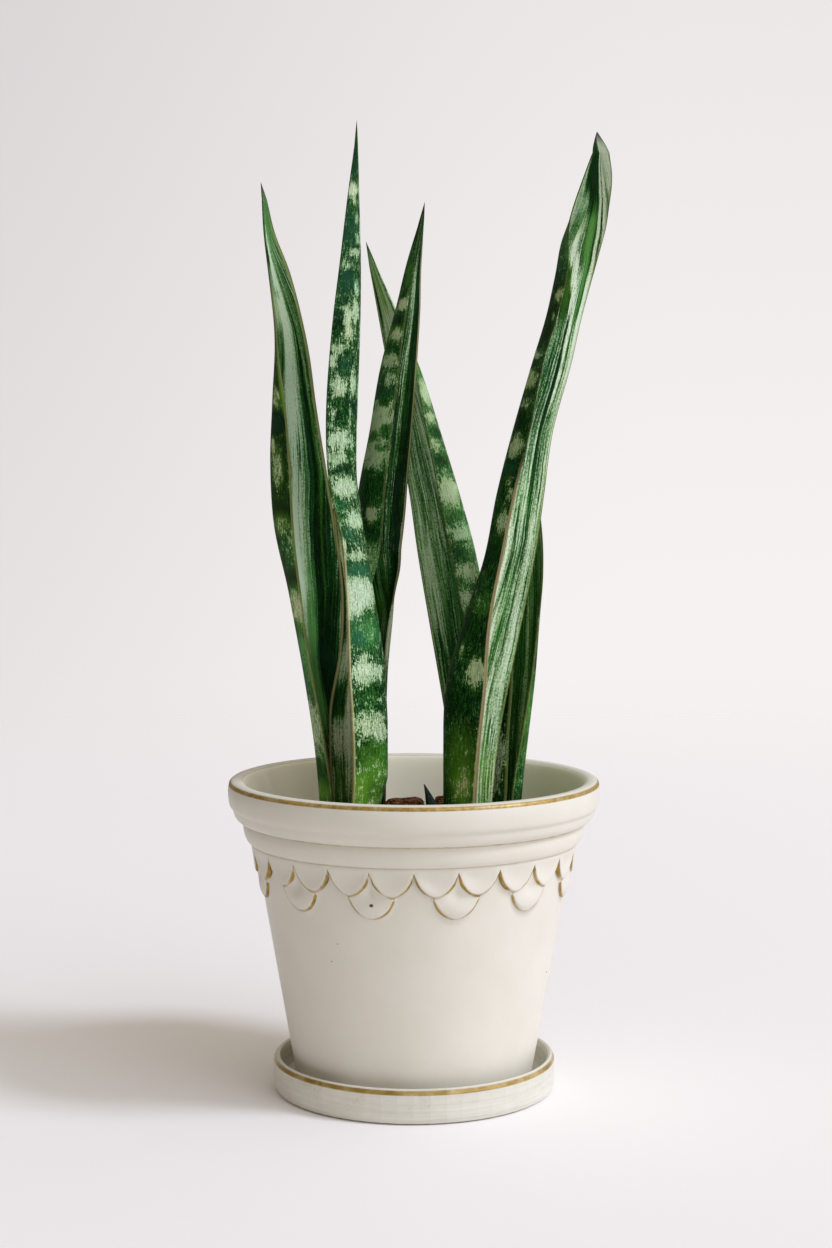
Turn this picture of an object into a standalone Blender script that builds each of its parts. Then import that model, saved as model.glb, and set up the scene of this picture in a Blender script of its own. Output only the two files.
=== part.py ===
"""Potted snake plant of the Bantel's Sensation kind, standing on its saucer.

Units in the tables are millimetres and degrees; the mesh is made in metres. The origin is the middle of
the saucer's underside, +Z is up, -Y is the front and +X is the plant's right as seen from the front.
Run it with: blender --background --python part.py
"""

import math
from dataclasses import dataclass
from typing import NamedTuple

import bmesh
import bpy
from mathutils import Vector

MM = 0.001
CLEARANCE = 0.3

# Pot: one piece of glazed earthenware, round about Z.
POT_STEPS = 60
RIM_RADIUS = 90.0
RIM_TOP = 152.5
SEAT_HEIGHT = 5.0
POT_BOTTOM = SEAT_HEIGHT + CLEARANCE
FOOT_RADIUS = 57.4
FOOT_WIDTH = 8.0
FOOT_RECESS = 2.0
WALL_FLARE = 0.1735
WALL_THICKNESS = 6.0
FLOOR_TOP = 13.5
DRAIN_RADIUS = 8.0
THROAT_FOOT = 121.0
THROAT_EASE = 0.65
THROAT_FLARE = 0.391

# Frieze under the ledge: a row of scallops, with a deeper tab behind every other cusp.
SCALLOP_COUNT = 24
FRIEZE_TOP = 122.6
CUSP_HEIGHT = 119.0
SCALLOP_LOW = 108.0
TAB_LOW = 97.2
SCALLOP_RELIEF = 2.1
TAB_RELIEF = 1.2
FRIEZE_ROOT = 1.6
EDGE_ROUND = 0.9
SCALLOP_FULLNESS = 1.8
TAB_FULLNESS = 1.9
SCALLOP_COLUMNS = (-1.0, -0.86, -0.45, 0.0, 0.45, 0.86, 1.0)

# Saucer: a low dish with an upright rim and a flat underside.
SAUCER_STEPS = 56
SAUCER_RADIUS = 68.8
SAUCER_HEIGHT = 17.0

# Potting mix, filling the pot to a low mound with a level top.
SOIL_STEPS = 40
SOIL_BOTTOM = FLOOR_TOP + CLEARANCE
SOIL_GAP = 0.4
HOLE_TOP = 140.0
SOIL_EDGE = 125.0
MOUND_TOP = 131.5
MOUND_RADIUS = 40.0
CRUMB_HEIGHT = 0.9

# Rootstock: level runners with an upright crown under every leaf and under the young shoot.
RUNNER_HEIGHT = 86.0
RUNNER_RADIUS = 7.5
CROWN_TOP = 97.7
CROWN_RADIUS = 10.5
CROWN_STEPS = 12
CROWN_INSET = 6.5
SHOOT_CROWN_RADIUS = 6.5
ROOT_RADIUS = 2.4
LEAF_FOOT = CROWN_TOP + CLEARANCE

# Root stubs: where each leaves the runner (x, y) and the way it heads.
ROOTS = (
    (-34.0, 3.0, 250.0),
    (-6.0, 1.0, 285.0),
    (13.0, 0.0, 260.0),
    (30.0, 2.0, 300.0),
    (-24.0, 16.0, 170.0),
    (40.0, 30.0, 150.0),
)

# Young shoot: a rolled spear beside the broad leaf.
SHOOT_FOOT = (11.0, 21.5)
SHOOT_PATH = (
    (*SHOOT_FOOT, LEAF_FOOT),
    (10.8, 21.4, 115.0),
    (9.9, 21.0, 128.0),
    (8.2, 20.4, 137.0),
    (5.0, 20.0, 146.0),
)
SHOOT_RADII = (3.6, 4.0, 3.9, 2.6, 0.25)

# Bark: a split chip and a smaller crumb lying on the mound.
BARK_BOTTOM = MOUND_TOP + CLEARANCE
CHIP_CENTRE = (-4.6, 19.8)
CHIP_LENGTH = 19.2
CHIP_WIDTH = 12.0
CHIP_HEIGHT = 6.8
CRUMB_CENTRE = (15.6, 30.4)
CRUMB_LENGTH = 9.6
CRUMB_WIDTH = 7.0
CRUMB_TALL = 6.6


class Station(NamedTuple):
    """One level cut through a leaf."""

    height: float
    keel_x: float
    keel_y: float
    width: float
    facing: float
    fold: float


@dataclass(frozen=True)
class Leaf:
    """A channelled leaf, given by level cuts from its foot to its tip.

    A cut is a folded strip: width is its length along the fold, facing turns the open side from the
    front (0) towards the right (90), and fold is how far each half has turned at its margin. A larger
    crease puts more of that turn at the keel.
    """

    name: str
    cuts: tuple[Station, ...]
    tip: tuple[float, float, float]
    colour: tuple[float, float, float]
    crease: float = 2.2
    keel_thickness: float = 3.4
    margin_thickness: float = 1.1


LEAVES = (
    Leaf(
        "leaf_left",
        (
            Station(LEAF_FOOT, -43.5, 10, 32, 56, 74),
            Station(140, -45, 10, 41.6, 55, 72),
            Station(170, -47.1, 9, 43, 51, 69),
            Station(205, -52.7, 8, 38.6, 56, 61),
            Station(225, -55.8, 8, 44.5, 54, 63),
            Station(245, -59.1, 8, 52.5, 53, 66),
            Station(275, -66.2, 8, 60, 61, 65),
            Station(305, -68.4, 7, 56, 66, 62),
            Station(335, -67.3, 6, 43.8, 65, 56),
            Station(365, -65, 3, 27.7, 52, 49),
            Station(395, -67.8, 1, 18.3, 50, 43),
            Station(415, -70.6, -1, 8.3, 48, 38),
            Station(430, -71.8, -2, 3.2, 45, 30),
        ),
        (-73.0, -2.5, 438.8),
        (0.055, 0.16, 0.07),
    ),
    Leaf(
        "leaf_centre_tall",
        (
            Station(LEAF_FOOT, -20.5, -3, 38, -71, 72),
            Station(140, -16.4, -4, 53, -71, 70),
            Station(158, -12.7, -4, 65, -71, 70),
            Station(185, -13.4, -5, 64, -72, 69),
            Station(212, -14.6, -7, 54, -80, 69),
            Station(240, -18.8, -9, 41.8, -83, 66),
            Station(270, -23.5, -11, 37.6, -82, 62),
            Station(285, -25.5, -12, 38.6, -88, 61),
            Station(300, -27.3, -13, 37.2, -94, 59),
            Station(335, -27.2, -15, 32.3, -112, 56),
            Station(370, -26.1, -15, 28.2, -115, 52),
            Station(400, -25.7, -14, 21.1, -116, 46),
            Station(430, -26.2, -12, 12.1, -115, 40),
            Station(455, -26.5, -10, 3.2, -115, 34),
        ),
        (-27.0, -9.5, 467.0),
        (0.10, 0.27, 0.12),
    ),
    Leaf(
        "leaf_centre_right",
        (
            Station(LEAF_FOOT, -29, 35, 36, 40, 100),
            Station(140, -29.3, 35, 42, 35, 110),
            Station(200, -24.7, 30, 50, 19, 128),
            Station(230, -22.8, 28, 54, 16, 124),
            Station(245, -25.4, 27, 48.5, 34, 113),
            Station(260, -27.3, 26, 47.5, 60, 97),
            Station(272, -27.3, 25.3, 51, 69, 85),
            Station(290, -27, 24, 59, 75, 70),
            Station(320, -21.3, 18.5, 54, 76, 62),
            Station(350, -16.2, 14, 48, 77, 59),
            Station(380, -8.4, 10.5, 33.5, 77, 51),
            Station(400, -3.7, 8, 23, 80, 47),
            Station(418, 1.8, 5, 8, 75, 38),
        ),
        (5.2, 4.0, 430.2),
        (0.03, 0.12, 0.035),
        crease=1.2,
    ),
    Leaf(
        "leaf_crossing",
        (
            Station(LEAF_FOOT, 40, 46, 34, -60, 74),
            Station(140, 41, 46, 42, -60, 74),
            Station(185, 38.9, 46, 52.4, -60, 70),
            Station(230, 34.7, 45, 60.6, -62, 68),
            Station(260, 29.8, 44, 61.8, -65, 67),
            Station(290, 21.7, 43.5, 54, -66, 63),
            Station(320, 12.4, 46, 44.2, -63, 60),
            Station(350, 2.5, 46.5, 33, -57, 56),
            Station(380, -9.4, 44, 18.8, -55, 49),
            Station(398, -17.1, 42, 9.2, -56, 44),
        ),
        (-23.9, 40.3, 414.8),
        (0.04, 0.15, 0.06),
    ),
    Leaf(
        "leaf_right_broad",
        (
            Station(LEAF_FOOT, 17, -3, 40, 70, 78),
            Station(140, 14.5, -2, 53.4, 72, 76),
            Station(170, 14.4, -1, 61.2, 72, 75),
            Station(200, 16.6, 0, 68, 70, 74),
            Station(230, 25.6, 2, 59.4, 62, 70),
            Station(260, 35.5, 3, 50, 57, 67),
            Station(290, 41, 4, 48.4, 61, 64),
            Station(320, 48.2, 5, 43.2, 65, 60),
            Station(353, 58, 5, 39.7, 59, 56),
            Station(375, 64.4, 5, 37, 61, 55),
            Station(395, 68.8, 4, 38.6, 60, 56),
            Station(410, 72.3, 2, 37.5, 50, 57),
            Station(425, 80.2, 0, 26.6, 26, 55),
            Station(440, 85.8, -1, 18.5, 15, 50),
            Station(452, 88.3, -2, 10, 10, 45),
        ),
        (87.0, -2.0, 462.5),
        (0.04, 0.17, 0.065),
    ),
    Leaf(
        "leaf_right_back",
        (
            Station(LEAF_FOOT, 43, 31, 42, 10, 150),
            Station(140, 43, 32, 54, 12, 160),
            Station(170, 45, 32, 54, 14, 150),
            Station(200, 48, 31, 50, 16, 140),
            Station(230, 49.5, 30, 44, 20, 125),
            Station(258, 51, 28, 32, 30, 100),
            Station(280, 54.5, 24, 17, 40, 80),
        ),
        (60.0, 19.0, 297.0),
        (0.03, 0.13, 0.04),
        crease=0.6,
        keel_thickness=2.6,
    ),
)

LEAF_RINGS_PER_CUT = 2
LEAF_COLUMNS = 8
PIECES_PER_COLUMN = 6


def clear_scene() -> None:
    """Remove every object that the file opened with."""
    for thing in list(bpy.data.objects):
        bpy.data.objects.remove(thing, do_unlink=True)


def new_collection(name: str, helpers: bool = False) -> bpy.types.Collection:
    """Make a collection in the scene; one of helpers stays out of the render."""
    collection = bpy.data.collections.new(name)
    bpy.context.scene.collection.children.link(collection)
    collection.hide_render = helpers
    return collection


def new_material(name: str, colour: tuple[float, float, float], roughness: float,
                 metallic: float = 0.0) -> bpy.types.Material:
    """Make a plain Principled material."""
    material = bpy.data.materials.new(name)
    material.use_nodes = True
    shader = material.node_tree.nodes["Principled BSDF"]
    shader.inputs["Base Color"].default_value = (*colour, 1.0)
    shader.inputs["Roughness"].default_value = roughness
    shader.inputs["Metallic"].default_value = metallic
    material.diffuse_color = (*colour, 1.0)
    return material


def mesh_object(name: str, points: list[Vector], faces: list[tuple[int, ...]],
                collection: bpy.types.Collection) -> bpy.types.Object:
    """Make an object from points in millimetres, with its faces turned outwards."""
    mesh = bpy.data.meshes.new(name)
    mesh.from_pydata([point * MM for point in points], [], faces)
    shape = bmesh.new()
    shape.from_mesh(mesh)
    bmesh.ops.recalc_face_normals(shape, faces=shape.faces)
    shape.to_mesh(mesh)
    shape.free()
    thing = bpy.data.objects.new(name, mesh)
    collection.objects.link(thing)
    return thing


def turned(name: str, profile: list[tuple[float, float]], steps: int, closed: bool,
           collection: bpy.types.Collection) -> bpy.types.Object:
    """Turn a profile of (radius, height) about Z; it runs down its outer side."""
    count = len(profile)
    edges = [(i, i + 1) for i in range(count - 1)]
    if closed:
        edges.append((count - 1, 0))
    mesh = bpy.data.meshes.new(name)
    mesh.from_pydata([Vector((radius, 0.0, height)) * MM for radius, height in profile], edges, [])
    thing = bpy.data.objects.new(name, mesh)
    collection.objects.link(thing)
    screw = thing.modifiers.new("turn", "SCREW")
    screw.axis = "Z"
    screw.steps = steps
    screw.render_steps = steps
    screw.use_merge_vertices = True
    screw.merge_threshold = 0.00001
    return thing


def applied(thing: bpy.types.Object) -> bpy.types.Object:
    """Replace the object's mesh by the one its modifiers make."""
    graph = bpy.context.evaluated_depsgraph_get()
    result = bpy.data.meshes.new_from_object(thing.evaluated_get(graph))
    thing.modifiers.clear()
    thing.data = result
    return thing


def boolean(thing: bpy.types.Object, others: bpy.types.Collection, operation: str) -> bpy.types.Object:
    """Join a collection to the object or cut it away, then drop the collection's objects."""
    modifier = thing.modifiers.new(operation.lower(), "BOOLEAN")
    modifier.operation = operation
    modifier.operand_type = "COLLECTION"
    modifier.collection = others
    modifier.solver = "EXACT"
    applied(thing)
    for other in list(others.objects):
        bpy.data.objects.remove(other, do_unlink=True)
    return thing


def finished(thing: bpy.types.Object, material: bpy.types.Material, sharp: float = 35.0) -> bpy.types.Object:
    """Shade the object smooth up to an angle and give it its material."""
    thing.data.materials.clear()
    thing.data.materials.append(material)
    thing.data.shade_smooth()
    thing.data.set_sharp_from_angle(angle=math.radians(sharp))
    return thing


def wall_radius(height: float) -> float:
    """Outer radius of the pot's plain wall."""
    return FOOT_RADIUS + (height - POT_BOTTOM) * WALL_FLARE


def inner_radius(height: float) -> float:
    """Inner radius of the pot below its rim."""
    return wall_radius(height) - WALL_THICKNESS


def throat_radius(height: float) -> float:
    """Inner radius of the pot where it opens out behind the ledge."""
    return inner_radius(THROAT_FOOT) + THROAT_EASE + (height - THROAT_FOOT) * THROAT_FLARE


def pot_profile() -> list[tuple[float, float]]:
    """The pot's section, from the top of its lip down the outside and back up the inside."""
    lip = [
        (86.3, RIM_TOP),
        (88.6, 152.1),
        (RIM_RADIUS - 0.1, 150.6),
    ]
    rim = [
        (RIM_RADIUS + 0.4, 147.5),
        (90.1, 143.5),
        (89.0, 139.8),
        (88.2, 138.8),
        (87.3, 135.6),
        (85.8, 133.6),
        (83.8, 132.6),
    ]
    ledge = [
        (82.8, 132.1),
        (83.0, 129.4),
        (82.6, 126.6),
        (81.6, 124.0),
        (80.2, 122.3),
        (78.7, 121.6),
    ]
    neck = [(wall_radius(121.2), 121.2)]
    foot = [
        (wall_radius(POT_BOTTOM + 1.2), POT_BOTTOM + 1.2),
        (FOOT_RADIUS - 1.2, POT_BOTTOM),
        (FOOT_RADIUS - FOOT_WIDTH, POT_BOTTOM),
        (FOOT_RADIUS - FOOT_WIDTH - FOOT_RECESS, POT_BOTTOM + FOOT_RECESS),
        (DRAIN_RADIUS, POT_BOTTOM + FOOT_RECESS),
    ]
    inside = [
        (DRAIN_RADIUS, FLOOR_TOP),
        (inner_radius(FLOOR_TOP) - 2.0, FLOOR_TOP),
        (inner_radius(FLOOR_TOP + 2.0), FLOOR_TOP + 2.0),
        (inner_radius(112.0), 112.0),
        (throat_radius(THROAT_FOOT), THROAT_FOOT),
        (throat_radius(132.0), 132.0),
        (80.6, 146.0),
    ]
    return lip + rim + ledge + neck + foot + inside + [(82.4, 150.4), (84.0, 152.0)]


def hanging_edge(across: float, top: float, low: float, fullness: float) -> float:
    """Height of a rounded hanging edge at a place from -1 to 1 across it."""
    return top - (top - low) * (1.0 - abs(across) ** fullness) ** (1.0 / fullness)


def relief_section(angle: float, low: float, top: float, relief: float) -> list[Vector]:
    """One upright cut through an applied relief, from its root at the top round to its root below."""
    face = wall_radius(top) + relief
    section = [
        (wall_radius(top) - FRIEZE_ROOT, top),
        (face, top),
        (wall_radius(low) + relief, low + EDGE_ROUND),
        (wall_radius(low) + relief - EDGE_ROUND * 0.6, low + 0.2),
        (wall_radius(low) - FRIEZE_ROOT, low),
    ]
    turn = (math.sin(angle), -math.cos(angle))
    return [Vector((radius * turn[0], radius * turn[1], height)) for radius, height in section]


def skin(rings: list[list[Vector]], around: bool) -> tuple[list[Vector], list[tuple[int, ...]]]:
    """Faces between rings of equal size, joined in a circle or closed by a cap at each end."""
    size = len(rings[0])
    count = len(rings)
    points = [point for ring in rings for point in ring]
    faces = []
    for i in range(count if around else count - 1):
        here = i * size
        there = (i + 1) % count * size
        for j in range(size):
            after = (j + 1) % size
            faces.append((here + j, here + after, there + after, there + j))
    if not around:
        faces.append(tuple(range(size)))
        faces.append(tuple((count - 1) * size + j for j in range(size)))
    return points, faces


def frieze_band(collection: bpy.types.Collection) -> bpy.types.Object:
    """The ring of scallops."""
    pitch = 2.0 * math.pi / SCALLOP_COUNT
    rings = []
    for scallop in range(SCALLOP_COUNT):
        middle = (scallop + 0.5) * pitch
        for across in SCALLOP_COLUMNS[:-1]:
            low = hanging_edge(across, CUSP_HEIGHT, SCALLOP_LOW, SCALLOP_FULLNESS)
            rings.append(relief_section(middle + across * pitch / 2.0, low, FRIEZE_TOP, SCALLOP_RELIEF))
    points, faces = skin(rings, around=True)
    return mesh_object("frieze_band", points, faces, collection)


def frieze_tab(number: int, collection: bpy.types.Collection) -> bpy.types.Object:
    """A tab that hangs behind the cusp between two scallops."""
    pitch = 2.0 * math.pi / SCALLOP_COUNT
    middle = (2 * number + 1) * pitch
    rings = []
    for across in SCALLOP_COLUMNS:
        low = hanging_edge(across, SCALLOP_LOW + 1.0, TAB_LOW, TAB_FULLNESS)
        rings.append(relief_section(middle + across * pitch / 2.0, low, FRIEZE_TOP - 1.0, TAB_RELIEF))
    points, faces = skin(rings, around=False)
    return mesh_object(f"frieze_tab_{number}", points, faces, collection)


def make_pot(parts: bpy.types.Collection, helpers: bpy.types.Collection) -> None:
    """The pot with its rim, ledge, frieze, foot and drain hole."""
    pot = applied(turned("pot", pot_profile(), POT_STEPS, True, parts))
    frieze_band(helpers)
    for number in range(SCALLOP_COUNT // 2):
        frieze_tab(number, helpers)
    boolean(pot, helpers, "UNION")
    finished(pot, new_material("pot_glaze", (0.80, 0.77, 0.70), 0.35))


def make_saucer(parts: bpy.types.Collection) -> None:
    """The saucer, one closed dish."""
    rim = SAUCER_RADIUS
    profile = [
        (0.0, SEAT_HEIGHT),
        (61.0, SEAT_HEIGHT),
        (63.6, SEAT_HEIGHT + 1.0),
        (64.6, SEAT_HEIGHT + 3.4),
        (65.2, SAUCER_HEIGHT - 2.6),
        (65.9, SAUCER_HEIGHT - 0.6),
        (66.9, SAUCER_HEIGHT),
        (rim - 0.7, SAUCER_HEIGHT - 0.7),
        (rim, SAUCER_HEIGHT - 2.3),
        (rim, 3.0),
        (rim - 0.8, 0.9),
        (rim - 2.8, 0.0),
        (0.0, 0.0),
    ]
    saucer = applied(turned("saucer", profile, SAUCER_STEPS, False, parts))
    finished(saucer, new_material("saucer_glaze", (0.66, 0.66, 0.60), 0.3))


def blend(values: list[float], stops: list[float], at: float) -> float:
    """Smooth curve through values at rising stops, with slopes taken from the neighbours."""
    last = len(stops) - 1
    i = max(0, min(last - 1, sum(1 for stop in stops if stop <= at) - 1))
    span = stops[i + 1] - stops[i]

    def slope(k: int) -> float:
        low, high = max(0, k - 1), min(last, k + 1)
        return (values[high] - values[low]) / (stops[high] - stops[low])

    t = (at - stops[i]) / span
    rise = t * t * (3.0 - 2.0 * t)
    lead = t * (1.0 - t) ** 2 * span * slope(i)
    tail = t * t * (t - 1.0) * span * slope(i + 1)
    return values[i] + (values[i + 1] - values[i]) * rise + lead + tail


def cut_at(leaf: Leaf, height: float) -> Station:
    """The leaf's cut at any height between its foot and its tip."""
    stops = [cut.height for cut in leaf.cuts]
    return Station(*(blend([cut[k] for cut in leaf.cuts], stops, height) for k in range(6)))


def thickness_at(leaf: Leaf, height: float, across: float) -> float:
    """Blade thickness, thinner towards the margins and towards the tip."""
    foot, tip = leaf.cuts[0].height, leaf.cuts[-1].height
    rise = (height - foot) / (tip - foot)
    keel = leaf.keel_thickness * (1.0 - 0.72 * rise)
    margin = leaf.margin_thickness * (1.0 - 0.40 * rise)
    return margin + (keel - margin) * (1.0 - across * across)


def turn_at(leaf: Leaf, fold: float, across: float) -> float:
    """How far a half of the blade has turned at a place from 0 at the keel to 1 at the margin."""
    return fold * math.tanh(leaf.crease * across) / math.tanh(leaf.crease)


def half_section(leaf: Leaf, half: float, fold: float) -> list[tuple[float, float, float, float]]:
    """One half of a cut from keel to margin: place across, distance along, depth and turn."""
    columns = LEAF_COLUMNS // 2
    pieces = columns * PIECES_PER_COLUMN
    along = depth = 0.0
    places = [(0.0, 0.0, 0.0, 0.0)]
    for k in range(1, pieces + 1):
        turn = turn_at(leaf, fold, (k - 0.5) / pieces)
        along += math.cos(turn) * half / pieces
        depth += math.sin(turn) * half / pieces
        if k % PIECES_PER_COLUMN == 0:
            places.append((k / pieces, along, depth, turn_at(leaf, fold, k / pieces)))
    return places


def ring_at(leaf: Leaf, height: float, grow: float = 0.0) -> list[Vector]:
    """The closed outline of the leaf at a height: the outer face, then back along the inner face.

    Args:
        leaf: the leaf to cut.
        height: height of the cut.
        grow: how far the outline stands off the leaf, for the hole it leaves in the potting mix.
    """
    cut = cut_at(leaf, height)
    facing = math.radians(cut.facing)
    side = Vector((math.cos(facing), math.sin(facing), 0.0))
    front = Vector((math.sin(facing), -math.cos(facing), 0.0))
    keel = Vector((cut.keel_x, cut.keel_y, height))
    half = half_section(leaf, cut.width / 2.0 + grow, math.radians(cut.fold))
    places = [(-1.0, *place) for place in half[:0:-1]] + [(1.0, *place) for place in half]
    outer: list[Vector] = []
    inner: list[Vector] = []
    for sign, across, along, depth, turn in places:
        thick = thickness_at(leaf, height, across)
        for ring, offset in ((outer, -grow), (inner, thick + grow)):
            aside = sign * (along - math.sin(turn) * offset)
            ahead = depth + math.cos(turn) * offset
            ring.append(keel + side * aside + front * ahead)
    return outer + inner[::-1]


def leaf_heights(leaf: Leaf) -> list[float]:
    """Heights of the leaf's rings, a fixed number between each two cuts."""
    heights = []
    for low, high in zip(leaf.cuts, leaf.cuts[1:]):
        for k in range(LEAF_RINGS_PER_CUT):
            heights.append(low.height + (high.height - low.height) * k / LEAF_RINGS_PER_CUT)
    return heights + [leaf.cuts[-1].height]


def blade_faces(rings: int, columns: int) -> list[tuple[int, ...]]:
    """Triangles of a blade whose rings hold an outer and an inner row, split alike on both faces."""
    size = 2 * columns
    faces = []
    for i in range(rings - 1):
        here, there = i * size, (i + 1) * size
        for j in range(columns - 1):
            k = size - 1 - j
            faces += [(here + j, here + j + 1, there + j + 1), (here + j, there + j + 1, there + j)]
            faces += [(here + k, there + k - 1, here + k - 1), (here + k, there + k, there + k - 1)]
        for j, after in ((columns - 1, columns), (size - 1, 0)):
            faces += [(here + j, here + after, there + after), (here + j, there + after, there + j)]
    for j in range(columns - 1):
        k = size - 1 - j
        faces += [(j, k, k - 1), (j, k - 1, j + 1)]
    return faces


def make_leaf(leaf: Leaf, parts: bpy.types.Collection) -> None:
    """The leaf as one closed blade that ends in a point."""
    heights = leaf_heights(leaf)
    rings = [ring_at(leaf, height) for height in heights]
    points = [point for ring in rings for point in ring]
    columns = LEAF_COLUMNS + 1
    faces = blade_faces(len(rings), columns)
    points.append(Vector(leaf.tip))
    last = (len(rings) - 1) * 2 * columns
    faces += [(last + j, last + (j + 1) % (2 * columns), len(points) - 1) for j in range(2 * columns)]
    blade = mesh_object(leaf.name, points, faces, parts)
    finished(blade, new_material(f"{leaf.name}_skin", leaf.colour, 0.4))


def leaf_hole(leaf: Leaf, helpers: bpy.types.Collection) -> None:
    """The cutter for the hole where the leaf stands in the potting mix."""
    above = [ring_at(leaf, height, CLEARANCE) for height in leaf_heights(leaf) if height <= HOLE_TOP]
    below = [point - Vector((0.0, 0.0, 2.0 * CLEARANCE)) for point in above[0]]
    rings = [below, *above]
    columns = LEAF_COLUMNS + 1
    faces = blade_faces(len(rings), columns)
    last = (len(rings) - 1) * 2 * columns
    for j in range(columns - 1):
        k = 2 * columns - 1 - j
        faces += [(last + j, last + k - 1, last + k), (last + j, last + j + 1, last + k - 1)]
    mesh_object(f"{leaf.name}_hole", [point for ring in rings for point in ring], faces, helpers)


def tube(name: str, path: tuple[tuple[float, float, float], ...], radii: tuple[float, ...],
         collection: bpy.types.Collection, grow: float = 0.0, sides: int = 8) -> bpy.types.Object:
    """A round tube along a smooth path with its own radius at each point, closed at both ends."""
    curve = bpy.data.curves.new(name, "CURVE")
    curve.dimensions = "3D"
    curve.resolution_u = 2
    curve.bevel_mode = "ROUND"
    curve.bevel_depth = MM
    curve.bevel_resolution = sides // 2 - 2
    curve.use_fill_caps = True
    spline = curve.splines.new("BEZIER")
    spline.radius_interpolation = "LINEAR"
    spline.bezier_points.add(len(path) - 1)
    for point, place, radius in zip(spline.bezier_points, path, radii):
        point.co = Vector(place) * MM
        point.radius = radius + grow
        point.handle_left_type = "AUTO"
        point.handle_right_type = "AUTO"
    guide = bpy.data.objects.new(name, curve)
    collection.objects.link(guide)
    graph = bpy.context.evaluated_depsgraph_get()
    mesh = bpy.data.meshes.new_from_object(guide.evaluated_get(graph))
    bpy.data.objects.remove(guide, do_unlink=True)
    shape = bmesh.new()
    shape.from_mesh(mesh)
    bmesh.ops.remove_doubles(shape, verts=shape.verts, dist=0.000001)
    bmesh.ops.recalc_face_normals(shape, faces=shape.faces)
    shape.to_mesh(mesh)
    shape.free()
    thing = bpy.data.objects.new(name, mesh)
    collection.objects.link(thing)
    return thing


def crown(name: str, centre: tuple[float, float], radius: float, grow: float,
          collection: bpy.types.Collection) -> bpy.types.Object:
    """An upright crown of the rootstock with a level top."""
    profile = [
        (0.0, CROWN_TOP + grow),
        (radius - 0.8 + grow, CROWN_TOP + grow),
        (radius + grow, CROWN_TOP - 1.2 + grow),
        (radius + grow, RUNNER_HEIGHT + 4.0),
        (radius - 3.0 + grow, RUNNER_HEIGHT - 4.0 - grow),
        (0.0, RUNNER_HEIGHT - 4.0 - grow),
    ]
    thing = applied(turned(name, profile, CROWN_STEPS, False, collection))
    thing.location = (centre[0] * MM, centre[1] * MM, 0.0)
    return thing


def crown_centre(leaf: Leaf) -> tuple[float, float]:
    """Middle of the crown that a leaf stands on, a little inside its keel."""
    foot = leaf.cuts[0]
    facing = math.radians(foot.facing)
    return foot.keel_x + CROWN_INSET * math.sin(facing), foot.keel_y - CROWN_INSET * math.cos(facing)


def rootstock_shapes(collection: bpy.types.Collection, grow: float = 0.0) -> bpy.types.Object:
    """The runners, crowns and root stubs as separate shapes that overlap; returns the main runner."""
    level = RUNNER_HEIGHT
    route = (
        (-44.0, 8.0, level),
        (-22.0, -2.0, level),
        (2.0, 3.0, level),
        (24.0, -3.0, level),
        (43.0, 18.0, level),
        (37.0, 38.0, level),
    )
    radii = (5.5, RUNNER_RADIUS, RUNNER_RADIUS, RUNNER_RADIUS, RUNNER_RADIUS, 5.5)
    main = tube("runner", route, radii, collection, grow)
    tube("runner_back", ((-24.0, -1.0, level), (-24.0, 14.0, level - 1.0), (-22.0, 31.0, level)),
         (6.0, 6.5, 5.5), collection, grow)
    tube("runner_shoot", ((3.0, 3.0, level), (7.0, 11.0, level - 1.0), (11.0, 23.0, level)),
         (5.0, 5.0, 4.5), collection, grow)
    for number, (x, y, turn) in enumerate(ROOTS):
        away = Vector((math.cos(math.radians(turn)), math.sin(math.radians(turn)), 0.0))
        start = Vector((x, y, level - 2.0))
        path = (start, start + away * 9.0 - Vector((0, 0, 3)), start + away * 13.0 - Vector((0, 0, 14)),
                start + away * 14.0 - Vector((0, 0, 30)))
        tube(f"root_{number}", tuple(tuple(point) for point in path),
             (ROOT_RADIUS, ROOT_RADIUS, ROOT_RADIUS * 0.8, ROOT_RADIUS * 0.4), collection, grow, sides=6)
    for leaf in LEAVES:
        crown(f"{leaf.name}_crown", crown_centre(leaf), CROWN_RADIUS, grow, collection)
    crown("shoot_crown", SHOOT_FOOT, SHOOT_CROWN_RADIUS, grow, collection)
    return main


def make_rootstock(parts: bpy.types.Collection, helpers: bpy.types.Collection) -> None:
    """The rootstock as one body."""
    main = rootstock_shapes(helpers)
    helpers.objects.unlink(main)
    parts.objects.link(main)
    main.name = "rootstock"
    boolean(main, helpers, "UNION")
    finished(main, new_material("rootstock_skin", (0.42, 0.25, 0.10), 0.8))


def make_shoot(parts: bpy.types.Collection) -> None:
    """The young shoot, a spear that leans to the left."""
    shoot = tube("pup_shoot", SHOOT_PATH, SHOOT_RADII, parts)
    finished(shoot, new_material("shoot_skin", (0.03, 0.10, 0.09), 0.4))


def soil_profile() -> list[tuple[float, float]]:
    """The potting mix's section: along its top, down the pot's wall and in along the floor."""
    top = [
        (0.0, MOUND_TOP),
        (MOUND_RADIUS * 0.5, MOUND_TOP),
        (MOUND_RADIUS, MOUND_TOP),
        (46.0, 131.0),
        (52.0, 130.1),
        (58.0, 128.9),
        (64.0, 127.5),
        (69.5, 126.2),
    ]
    wall = [
        (throat_radius(SOIL_EDGE) - SOIL_GAP, SOIL_EDGE),
        (throat_radius(THROAT_FOOT) - SOIL_GAP, THROAT_FOOT),
        (inner_radius(112.0) - SOIL_GAP, 112.0),
        (inner_radius(SOIL_BOTTOM + 2.0) - SOIL_GAP, SOIL_BOTTOM + 2.0),
        (inner_radius(FLOOR_TOP) - 2.0 - SOIL_GAP, SOIL_BOTTOM),
        (0.0, SOIL_BOTTOM),
    ]
    return top + wall


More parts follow.
